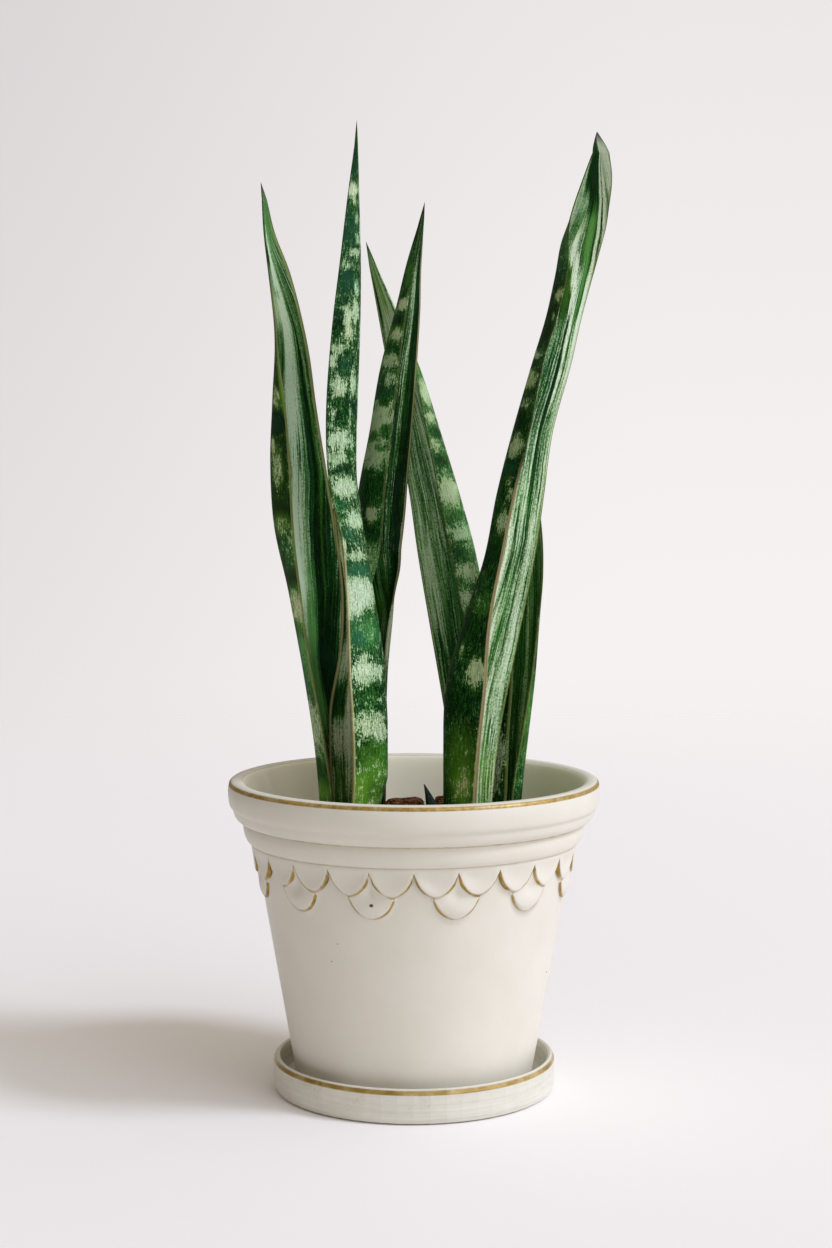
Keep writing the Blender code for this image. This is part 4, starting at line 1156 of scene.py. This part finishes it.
class Pot:
    """The glazed pot: a turned body whose rows follow the hanging edges of the frieze."""

    # Stored where no edge is near, and as the place across on the inside.
    FAR = 9.0
    INSIDE = 5.0
    # Where an edge's slope is read, and the most that it may stretch the rows.
    SLOPE_STEP = 0.004
    SLOPE_HEIGHT = 110.0
    MOST_SPREAD = 2.6
    # Steps from the ledge to the scallops' rounding, from there down a tab, and down the wall.
    FRIEZE_STEPS = 5
    TAB_STEPS = 10
    WALL_STEPS = 24
    # How far above and below an edge its rounding reaches.
    ABOVE_EDGE = 1.5
    BELOW_EDGE = 0.05
    # How far below the scallop's edge a tab starts, and how much further it takes to stand out in full. Its
    # edge is gilded from a share of that.
    TAB_START = 0.5
    TAB_RISE = 0.8
    TAB_SHOWN = 0.3

    def __init__(self, size: PotSize) -> None:
        """Build the pot in place of its node.

        Args:
            size: sizes of the pot.
        """
        self.size = size
        self.pitch = 2.0 * math.pi / size.scallops
        self.build()

    def wall_radius(self, height: float) -> float:
        """Outer radius of the plain wall."""
        return self.size.foot_radius + (height - self.size.bottom) * self.size.flare

    def scallop_place(self, angle: float) -> float:
        """Place across the scallop at an angle, from -1 to 1."""
        return ((angle / self.pitch) % 1.0 - 0.5) * 2.0

    @staticmethod
    def hang(across: float, fullness: float) -> float:
        """How far a rounded edge hangs at a place across it, from 0 to 1."""
        return (1.0 - abs(across) ** fullness) ** (1.0 / fullness)

    def scallop_edge(self, angle: float) -> float:
        """Height of the scallops' lower edge at an angle."""
        hang = self.hang(self.scallop_place(angle), self.size.scallop_fullness)
        return self.size.cusp - (self.size.cusp - self.size.scallop_low) * hang

    def tab_edge(self, angle: float) -> tuple[float, float]:
        """Find the tab's lower edge.

        Args:
            angle: turn from the front in radians.

        Returns:
            Its height, and the place across the tab, which is FAR where there is none.
        """
        size = self.size
        turn = (angle - self.pitch) % (2.0 * self.pitch)
        turn = turn if turn < self.pitch else turn - 2.0 * self.pitch
        across = turn / (self.pitch / 2.0 * size.tab_width)
        if abs(across) >= 1.0:
            return size.cusp, self.FAR
        top = size.scallop_low + 1.0
        return top - (top - size.tab_low) * self.hang(across, size.tab_fullness), across

    def spread(self, edge: Callable[[float], float], angle: float) -> float:
        """Work out how much longer an upright step is than the true step away from a sloping edge.

        Args:
            edge: height of the edge at an angle.
            angle: where to look.

        Returns:
            The ratio of the two steps.
        """
        run = 2.0 * self.SLOPE_STEP * self.wall_radius(self.SLOPE_HEIGHT)
        slope = (edge(angle + self.SLOPE_STEP) - edge(angle - self.SLOPE_STEP)) / run
        return min(self.MOST_SPREAD, math.hypot(1.0, slope))

    def column(self, angle: float) -> list[tuple[float, ...]]:
        """Cut the pot upright, from the lip down the outside and up the inside.

        Args:
            angle: turn from the front in radians.

        Returns:
            Radius, height, distances from the scallop's edge and the tab's, and place across, of each point.
        """
        size, far = self.size, self.FAR
        edge = self.scallop_edge(angle)
        reach = self.spread(self.scallop_edge, angle)
        middle = self.scallop_place(angle)
        tab, across = self.tab_edge(angle)
        tab_reach = self.spread(lambda turn: self.tab_edge(turn)[0], angle) if abs(across) < 0.98 else 1.0
        tab = min(tab, edge - self.TAB_START)
        hung = min(1.0, max(0.0, (edge - self.TAB_START - tab) / self.TAB_RISE)) if across < far else 0.0
        shown = hung > self.TAB_SHOWN
        place = across if shown else middle
        behind = size.tab_relief * hung
        cut = [(radius, height, far, far, 0.0) for radius, height in LIP]

        def stand(height: float, relief: float, *stored: float) -> None:
            """Add a point by its height, its relief on the wall and its stored numbers."""
            cut.append((self.wall_radius(height) + relief, height, *stored))

        steps = self.FRIEZE_STEPS
        for k in range(steps + 1):
            height = size.frieze_top + (edge + self.ABOVE_EDGE * reach - size.frieze_top) * k / steps
            hollow = max(0.0, 1.0 - (middle / size.hollow_width) ** 2)
            hollow *= size.scallop_hollow * math.sin(math.pi * k / steps)
            stand(height, size.scallop_relief - hollow, (height - edge) / reach, far, middle)
        for rise, share in ROUNDED_EDGE:
            relief = behind + (size.scallop_relief - behind) * share
            stand(edge + rise * reach, relief, rise, far, middle)
        high, low = edge - self.BELOW_EDGE, tab + self.ABOVE_EDGE * tab_reach
        for k in range(1, self.TAB_STEPS + 1):
            height = high + (low - high) * k / self.TAB_STEPS
            if hung <= 0.0 or low > edge - 0.2:
                height = high - 0.03 * k
            relief = size.tab_relief
            for swell in SWELLS:
                away = (across / swell.wide) ** 2 + ((height - swell.height) / swell.tall) ** 2
                relief += swell.relief * math.exp(-away)
            hang = (height - tab) / tab_reach if shown else -far
            stand(height, hung * relief, (height - edge) / reach, hang, place)
        base = min(tab, cut[-1][1] - 1.6)
        for rise, share in ROUNDED_EDGE:
            height = base + rise * min(tab_reach, 1.0 if base < tab else tab_reach)
            stand(height, behind * share, -far, rise if shown else -far, place)
        start, end = base - 0.06, size.bottom + 1.4
        for k in range(1, self.WALL_STEPS + 1):
            stand(start + (end - start) * k / self.WALL_STEPS, 0.0, -far, -far, 0.0)
        return cut + [(radius, height, -far, -far, self.INSIDE) for radius, height in self.inside()]

    def inside(self) -> list[tuple[float, float]]:
        """Follow the outline from the foot ring over the drain hole to the lip.

        Returns:
            Radius and height of each point.
        """
        size = self.size
        foot, low, recess = size.foot_radius, size.bottom, size.bottom + size.foot_recess
        floor, corner = size.floor_top, size.floor_top + 2.0
        return [
            (foot - 0.25, low + 0.6), (foot - 1.2, low), (foot - size.foot_width, low),
            (foot - size.foot_width - size.foot_recess, recess), (size.drain, recess), (size.drain, floor),
            (self.wall_radius(floor) - size.wall - 2.0, floor),
            (self.wall_radius(corner) - size.wall, corner), (self.wall_radius(112.0) - size.wall, 112.0),
            (self.wall_radius(120.0) - size.wall + 0.8, 121.0), *LIP_INSIDE,
        ]

    def build(self) -> None:
        """Make the mesh with the gilding distances stored on its points."""
        count = self.size.scallops * self.size.columns
        points, edges = [], []
        for i in range(count):
            angle = i * 2.0 * math.pi / count
            for radius, height, *stored in self.column(angle):
                points.append((radius * math.sin(angle), -radius * math.cos(angle), height))
                edges.append(stored)
        faces = ring_faces(count, len(points) // count, closed=True)
        piece = mesh_piece("pot_glazed", points, faces, self.skin())
        point_attribute(piece, "gilding", edges)
        mount(piece, "pot_glaze", "pot")

    def skin(self) -> bpy.types.Material:
        """Wire a satin glaze with gilded edges and a little ochre in the grooves.

        Returns:
            The material.
        """
        graph = Graph.of_material("pot_glaze_skin")
        spot, x, y, z = graph.millimetres()
        radius = graph.root(x * x + y * y)
        cloud = graph.noise(spot, 0.035)
        grain = graph.noise(spot, 0.9)
        wear = graph.noise(spot, 0.16, 4.0, 0.65)
        fleck = graph.noise(spot, 0.42)
        hand = graph.noise(spot, 0.07, 2.0)
        scallop, tab, across = graph.attribute("gilding")
        rim = z.line(150.95, 1.15) * radius.step(86.5, 87.5) * (0.95 + wear * 0.4).clamped()
        near_cusp = abs(across).step(0.15, 0.85)
        thin = (scallop.line(0.26, 0.50) + tab.line(0.26, 0.50)).clamped()
        thick = (scallop.line(0.30, 1.05) + tab.line(0.30, 0.95)).clamped()
        load = (0.10 + near_cusp * 0.75 + hand * 0.9 + wear * 0.3).clamped()
        lining = (thin * (0.55 + wear * 0.5 + hand * 0.4).clamped() * 0.8 + thick * load).clamped()
        groove = z.line(132.3, 0.6) * (1.0 - radius.step(83.4, 84.6)) * radius.step(78.0, 80.0)
        groove = groove + z.line(122.15, 0.5) * radius.step(78.0, 79.0) * 0.5
        groove = groove * (0.55 + wear * 0.6).clamped() * 0.8
        gilt = (rim + lining + groove).clamped()
        colour = graph.mix((0.5 + cloud * 0.5 + grain * 0.12).clamped(), GLAZE.glaze, GLAZE.shade)
        # Painted light: the inside takes the lighter inside colour.
        colour = graph.mix(across.step(2.0, 4.0), colour, GLAZE.inside)
        colour = graph.mix((fleck - 0.62).step(0.0, 0.10) * 0.35, colour, GLAZE.dark_gold)
        for pit in PITS:
            turn, wall = math.radians(pit.turn), self.wall_radius(pit.height)
            aside, ahead, above = x - wall * math.sin(turn), y + wall * math.cos(turn), (z - pit.height) * 1.2
            away = graph.root(aside * aside + ahead * ahead * 0.02 + above * above)
            colour = graph.mix(1.0 - away.step(pit.radius * 0.5, pit.radius), colour, GLAZE.pit)
        gold = graph.mix((0.42 + fleck * 0.8).clamped(), GLAZE.gold, GLAZE.dark_gold)
        return graph.finish(
            Base_Color=graph.mix(gilt, colour, gold),
            Metallic=gilt * 0.35,
            Roughness=0.42 + grain * 0.05 + cloud * 0.04,
            Specular_IOR_Level=0.40,
            Coat_Weight=0.10,
            Coat_Roughness=0.3,
            Normal=graph.bump(cloud * 0.8 + grain * 0.05, 0.35, 0.0006),
        )


class Saucer:
    """The saucer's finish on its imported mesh."""

    def __init__(self) -> None:
        """Dress the node."""
        dress(self.skin(), "saucer")

    def skin(self) -> bpy.types.Material:
        """Wire a mottled grey-white glaze with a gold line round the lip.

        Returns:
            The material.
        """
        graph = Graph.of_material("saucer_glaze_skin")
        spot, x, y, z = graph.millimetres()
        cloud = graph.noise(graph.vector(x, y, z * 1.6), 0.07, 4.0, 0.62)
        streak = graph.noise(graph.vector(x * 0.12, y * 0.12, z * 2.2), 0.3, 4.0)
        wear = graph.noise(spot, 0.12)
        speck = graph.noise(spot, 0.8, 2.0)
        colour = graph.mix((0.40 + cloud * 0.35 + streak * 0.45).clamped(), GLAZE.saucer, GLAZE.saucer_grey)
        rubbed = (cloud + speck * 0.7 + z.line(11.5, 6.0) * 0.25 - 0.42).step(0.0, 0.4)
        colour = graph.mix(rubbed * 0.18, colour, GLAZE.saucer_dust)
        colour = graph.mix((speck - 0.5).step(0.0, 0.12) * 0.4, colour, GLAZE.dark_gold)
        outer = graph.root(x * x + y * y).step(66.4, 67.4)
        gilt = z.line(15.3, 1.35) * outer * (0.95 + wear * 0.4).clamped()
        gold = graph.mix((0.45 + wear * 0.7).clamped(), GLAZE.gold, GLAZE.dark_gold)
        return graph.finish(
            Base_Color=graph.mix(gilt, colour, gold),
            Metallic=gilt * 0.35,
            Roughness=0.32 + speck * 0.05,
            Coat_Weight=0.20,
            Coat_Roughness=0.15,
            Normal=graph.bump(cloud * 0.4 + streak * 0.3 - z.line(8.6, 1.6) * 0.5, 0.35, 0.0006),
        )


@dataclass(frozen=True)
class EarthColours:
    """Colours of the potting mix, the bark, the rootstock and the young shoot."""

    dark: Colour = srgb(38, 26, 18)
    brown: Colour = srgb(88, 62, 42)
    pale: Colour = srgb(142, 116, 86)
    # The bark colours are lighter than the bark itself: partly the bark's own colour, partly painted light for
    # its shade in the pot.
    bark: Colour = srgb(196, 122, 72)
    bark_dark: Colour = srgb(56, 26, 14)
    bark_dust: Colour = srgb(250, 206, 152)
    root: Colour = srgb(190, 128, 60)
    root_dark: Colour = srgb(110, 66, 30)
    shoot: Colour = srgb(30, 78, 66)
    shoot_dark: Colour = srgb(10, 32, 30)
    shoot_pale: Colour = srgb(122, 160, 134)


EARTH = EarthColours()


class Keep(NamedTuple):
    """A circle that no crumb may touch."""

    x: float
    y: float
    radius: float


@dataclass(frozen=True)
class CrumbSize:
    """Sizes of the crumbs and of the mound that they lie on."""

    count: int = 420
    sides: int = 8
    radii: tuple[float, ...] = (0.7, 0.9, 1.1, 1.4, 1.9, 2.4)
    levels: tuple[float, ...] = (-0.75, -0.1, 0.5)
    top: float = 0.85
    bottom: float = -0.9
    sunk: float = 0.12
    stretch: tuple[float, float] = (0.7, 1.3)
    ragged: tuple[float, float] = (0.82, 1.12)
    uneven: tuple[float, float] = (0.85, 1.1)
    scatter: float = 72.0
    outermost: float = 72.5
    # Round a leaf: its middle ahead of the keel and its radius as shares of its width, and a gap.
    leaf_middle: float = 0.24
    leaf_radius: float = 0.36
    leaf_gap: float = 2.0
    stops: tuple[float, ...] = (0.0, 40.0, 46.0, 52.0, 58.0, 64.0, 69.5, 75.0)
    heights: tuple[float, ...] = (131.5, 131.5, 131.0, 130.1, 128.9, 127.5, 126.2, 125.0)
    # The shoot and the two pieces of bark.
    keeps: tuple[Keep, ...] = table(Keep, (11.0, 21.5, 6.0), (-4.6, 19.8, 12.5), (15.6, 30.4, 7.5))
    seed: int = 77


class Planting:
    """Finishes of the potting mix, bark, rootstock and shoot, and loose crumbs on the mix."""

    def __init__(self, size: CrumbSize) -> None:
        """Dress the nodes and add the crumbs.

        Args:
            size: sizes of the crumbs.
        """
        self.size = size
        self.draw = random.Random(size.seed)
        self.points: list[tuple[float, ...]] = []
        self.faces: Faces = []
        mix = self.mix_skin()
        dress(mix, "soil")
        dress(self.bark_skin(), "bark_chip", "bark_crumb")
        dress(self.root_skin(), "rootstock")
        dress(self.shoot_skin(), "pup_shoot")
        self.crumbs(mix)

    def mix_skin(self) -> bpy.types.Material:
        """Wire a dark crumbly potting mix with lighter grains.

        Returns:
            The material.
        """
        graph = Graph.of_material("potting_mix_skin")
        spot = graph.millimetres()[0]
        clod = graph.noise(spot, 0.22, 5.0, 0.6)
        grain = graph.noise(spot, 0.9, 4.0, 0.65)
        grit = graph.node("ShaderNodeTexVoronoi", None, {"Vector": spot, "Scale": 0.55})
        colour = graph.mix((0.5 + clod * 0.7 + grain * 0.5).clamped(), EARTH.dark, EARTH.brown)
        return graph.finish(
            Base_Color=graph.mix((grain - 0.38).step(0.0, 0.18) * 0.7, colour, EARTH.pale),
            Roughness=0.94 + grain * 0.05,
            Specular_IOR_Level=0.2,
            Normal=graph.bump(clod * 0.55 + grain * 0.35 - grit * 0.35, 0.9, 0.0022),
        )

    def bark_skin(self) -> bpy.types.Material:
        """Wire red-brown bark, furrowed along its length.

        Returns:
            The material.
        """
        graph = Graph.of_material("bark_skin")
        spot, x, y, z = graph.millimetres()
        furrow = graph.noise(graph.vector(x * 0.16, y * 0.9, z * 1.3), 1.0, 4.0, 0.65)
        grain = graph.noise(spot, 0.9)
        # Partly painted light: these bark colours are lifted for the shade inside the pot.
        colour = graph.mix((0.5 + furrow * 2.2 + grain * 0.8).clamped(), EARTH.bark_dark, EARTH.bark)
        dust = (furrow + grain * 0.6 - 0.16).step(0.0, 0.25) * 0.8
        return graph.finish(
            Base_Color=graph.mix(dust, colour, EARTH.bark_dust),
            Roughness=0.86 + grain * 0.1,
            Specular_IOR_Level=0.25,
            Normal=graph.bump(furrow * 0.55 + grain * 0.15, 0.9, 0.0016),
        )

    def root_skin(self) -> bpy.types.Material:
        """Wire an orange-brown rootstock with dark rings.

        Returns:
            The material.
        """
        graph = Graph.of_material("root_skin_finish")
        spot, x, y, z = graph.millimetres()
        cloud = graph.noise(spot, 0.12, 4.0)
        ring = graph.noise(graph.vector(x * 0.7, y * 0.2, z * 0.7), 0.6)
        return graph.finish(
            Base_Color=graph.mix((0.5 + cloud * 0.6 + ring * 0.5).clamped(), EARTH.root_dark, EARTH.root),
            Roughness=0.72 + cloud * 0.13,
            Normal=graph.bump(cloud * 0.45 + ring * 0.45, 0.6, 0.001),
        )

    def shoot_skin(self) -> bpy.types.Material:
        """Wire a dark blue-green rolled shoot with pale long streaks.

        Returns:
            The material.
        """
        graph = Graph.of_material("shoot_skin_finish")
        spot, x, y, z = graph.millimetres()
        streak = graph.noise(graph.vector(x + z * 0.45, y, z * 0.05), 1.1)
        cloud = graph.noise(spot, 0.25)
        colour = graph.mix((0.5 + cloud * 0.8).clamped(), EARTH.shoot_dark, EARTH.shoot)
        return graph.finish(
            Base_Color=graph.mix((streak - 0.23).step(0.0, 0.32) * 0.7, colour, EARTH.shoot_pale),
            Roughness=0.42 + cloud * 0.1,
            Normal=graph.bump(streak * 0.45, 0.4, 0.0005),
        )

    def clear_of_plants(self, x: float, y: float, reach: float) -> bool:
        """Tell whether a crumb stays clear of the leaves, the shoot and the bark.

        Args:
            x: where it lies, to the right.
            y: where it lies, to the back.
            reach: its radius.

        Returns:
            Whether it does.
        """
        size = self.size
        for leaf in LEAVES:
            cut = leaf.cuts[1]
            facing = math.radians(cut.facing)
            ahead = Vector((math.sin(facing), -math.cos(facing)))
            middle = Vector((cut.keel_x, cut.keel_y)) + ahead * cut.width * size.leaf_middle
            if (Vector((x, y)) - middle).length < cut.width * size.leaf_radius + reach + size.leaf_gap:
                return False
        return all(math.hypot(x - keep.x, y - keep.y) >= keep.radius + reach for keep in size.keeps)

    def crumbs(self, mix: bpy.types.Material) -> None:
        """Scatter uneven crumbs over the mix as one piece.

        Args:
            mix: their finish.
        """
        size, draw = self.size, self.draw
        made = 0
        while made < size.count:
            radius = size.scatter * math.sqrt(draw.random())
            turn = draw.uniform(0.0, 2.0 * math.pi)
            x, y = radius * math.cos(turn), radius * math.sin(turn)
            reach = draw.choice(size.radii)
            if radius + reach > size.outermost or not self.clear_of_plants(x, y, reach):
                continue
            ground = float(np.interp(radius, size.stops, size.heights))
            self.add_crumb(Vector((x, y, ground + reach * size.sunk)), reach)
            made += 1
        mount(mesh_piece("soil_crumbs", self.points, self.faces, mix), "potting_mix")

    def add_crumb(self, centre: Vector, reach: float) -> None:
        """Add one crumb, a small uneven lump.

        Args:
            centre: its middle.
            reach: its radius.
        """
        size, sides, start = self.size, self.size.sides, len(self.points)
        uniform = self.draw.uniform
        stretch = uniform(*size.stretch)
        for level in size.levels:
            around = math.sqrt(1.0 - level * level)
            for k in range(sides):
                turn = 2.0 * math.pi * k / sides
                away = reach * around * uniform(*size.ragged)
                x, y = centre.x + away * math.cos(turn) * stretch, centre.y + away * math.sin(turn)
                self.points.append((x, y, centre.z + reach * level * uniform(*size.uneven)))
        top = len(self.points)
        self.points += [(centre.x, centre.y, centre.z + reach * level) for level in (size.top, size.bottom)]
        self.faces += ring_faces(len(size.levels), sides, start)
        for k in range(sides):
            after = (k + 1) % sides
            self.faces += [(top - sides + k, top - sides + after, top), (start + after, start + k, top + 1)]


@dataclass(frozen=True)
class StudioSize:
    """Camera, floor and surroundings."""

    lens: float = 64.39
    sensor: float = 36.0
    camera_x: float = 0.97
    distance: float = 1078.5
    camera_height: float = 310.7
    pitch: float = 4.42
    floor_reach: float = 4000.0
    backdrop_low: Colour = srgb(212, 207, 208)
    backdrop_high: Colour = srgb(246, 242, 242)
    floor_shaded_left: Colour = srgb(243, 240, 238)
    floor_lit_right: Colour = srgb(250, 247, 245)
    dim_side: Colour = (0.01, 0.0, 0.0, 1.0)
    bright_side: Colour = (0.74, 0.69, 0.61, 1.0)
    towards_bright: tuple[float, float, float] = (0.777, -0.104, 0.622)


class Lamp(NamedTuple):
    """An even light from one direction: where it comes from, its energy, tone and spread in degrees."""

    name: str
    place: tuple[float, float, float]
    energy: float
    tone: tuple[float, float, float]
    spread: float


LAMPS = table(
    Lamp,
    ("key", (1.27, -0.42, 1.30), 1.42, (0.845, 0.89, 1.08), 14.0),
    ("wide", (0.52, -0.50, 0.62), 0.60, (0.845, 0.89, 1.08), 44.0),
    ("side", (0.90, -0.50, 0.25), 0.36, (0.875, 0.935, 1.13), 56.0),
)


class Studio:
    """Floor and backdrop with painted light, surroundings dim to the left, soft lights from the right and the
    camera.
    """

    def __init__(self, size: StudioSize) -> None:
        """Set the studio up.

        Args:
            size: its sizes and strengths.
        """
        self.size = size
        self.scene = bpy.context.scene
        self.surroundings()
        self.floor()
        for lamp in LAMPS:
            self.light(lamp)
        self.camera()

    def surroundings(self) -> None:
        """Light the room, dim from the left and bright from the upper right, before a pale backdrop."""
        size = self.size
        graph = Graph(bpy.data.worlds.new("surroundings"), "Background")
        way = graph.node("ShaderNodeTexCoord", None, None, "Generated")
        facing = graph.node("ShaderNodeVectorMath", {"operation": "DOT_PRODUCT"},
                            {0: way, 1: size.towards_bright}, "Value")
        around = graph.mix(facing * 0.5 + 0.5, size.dim_side, size.bright_side)
        x, _, z = graph.split(way)
        # Painted light: the backdrop seen by the camera is darker at the left and the top and lighter at the
        # right.
        level = (x.step(-0.32, 0.12) * 0.665 - z * 1.26 + 0.264).clamped()
        backdrop = graph.mix(level, size.backdrop_low, size.backdrop_high)
        seen = graph.node("ShaderNodeLightPath", None, None, "Is Camera Ray")
        self.scene.world = graph.finish(Color=graph.mix(seen, around, backdrop))
        self.scene.view_settings.view_transform = "Standard"

    def floor(self) -> None:
        """Lay a wide pale floor that fades into the surroundings, with painted light: darker left, lighter
        right.
        """
        reach = self.size.floor_reach
        graph = Graph.of_material("floor_finish")
        spot, x, y, _ = graph.millimetres()
        cloud = graph.noise(spot, 0.002, 2.0)
        # Painted light: the floor is coloured darker at the left and lighter at the right, as the light falls
        # from the right.
        colour = graph.mix((x.step(-420.0, 420.0) + cloud * 0.1).clamped(), self.size.floor_shaded_left,
                           self.size.floor_lit_right)
        graph.finish(Base_Color=colour, Roughness=0.9, Specular_IOR_Level=0.1)
        away = graph.root(x * x + y * y).step(300.0, 2200.0)
        blend = graph.node("ShaderNodeMixShader", None, {
            0: away, 1: Wire(graph, graph.shader.outputs[0]), 2: graph.node("ShaderNodeBsdfTransparent")})
        graph.put(graph.tree.nodes["Material Output"].inputs["Surface"], blend)
        corners = [(-reach, -reach, 0.0), (reach, -reach, 0.0), (reach, reach, 0.0), (-reach, reach, 0.0)]
        piece = mesh_piece("floor", corners, [(0, 1, 2, 3)], graph.owner, closed=False)

    def light(self, lamp: Lamp) -> None:
        """Hang one light.

        Args:
            lamp: the light.
        """
        data = bpy.data.lights.new(lamp.name, "SUN")
        data.angle = math.radians(lamp.spread)
        data.energy = lamp.energy
        data.color = lamp.tone
        thing = bpy.data.objects.new(lamp.name, data)
        thing.location = Vector(lamp.place)
        thing.rotation_mode = "QUATERNION"
        thing.rotation_quaternion = (-Vector(lamp.place)).to_track_quat("-Z", "Y")
        self.scene.collection.objects.link(thing)

    def camera(self) -> None:
        """Stand the camera at the photograph's distance, height and pitch."""
        size = self.size
        data = bpy.data.cameras.new("camera")
        data.lens, data.sensor_width = size.lens, size.sensor
        data.clip_start, data.clip_end = 0.05, 50.0
        thing = bpy.data.objects.new("camera", data)
        thing.location = Vector((size.camera_x, -size.distance, size.camera_height)) * MM
        thing.rotation_euler = (math.radians(90.0 - size.pitch), 0.0, 0.0)
        self.scene.collection.objects.link(thing)
        self.scene.camera = thing


def main() -> None:
    """Finish the plant, light it and set up the camera."""
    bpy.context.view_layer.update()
    Pot(PotSize())
    Saucer()
    Planting(CrumbSize())
    for leaf in LEAVES:
        LeafBlade(leaf)
    Studio(StudioSize())


if __name__ == "__main__":
    main()
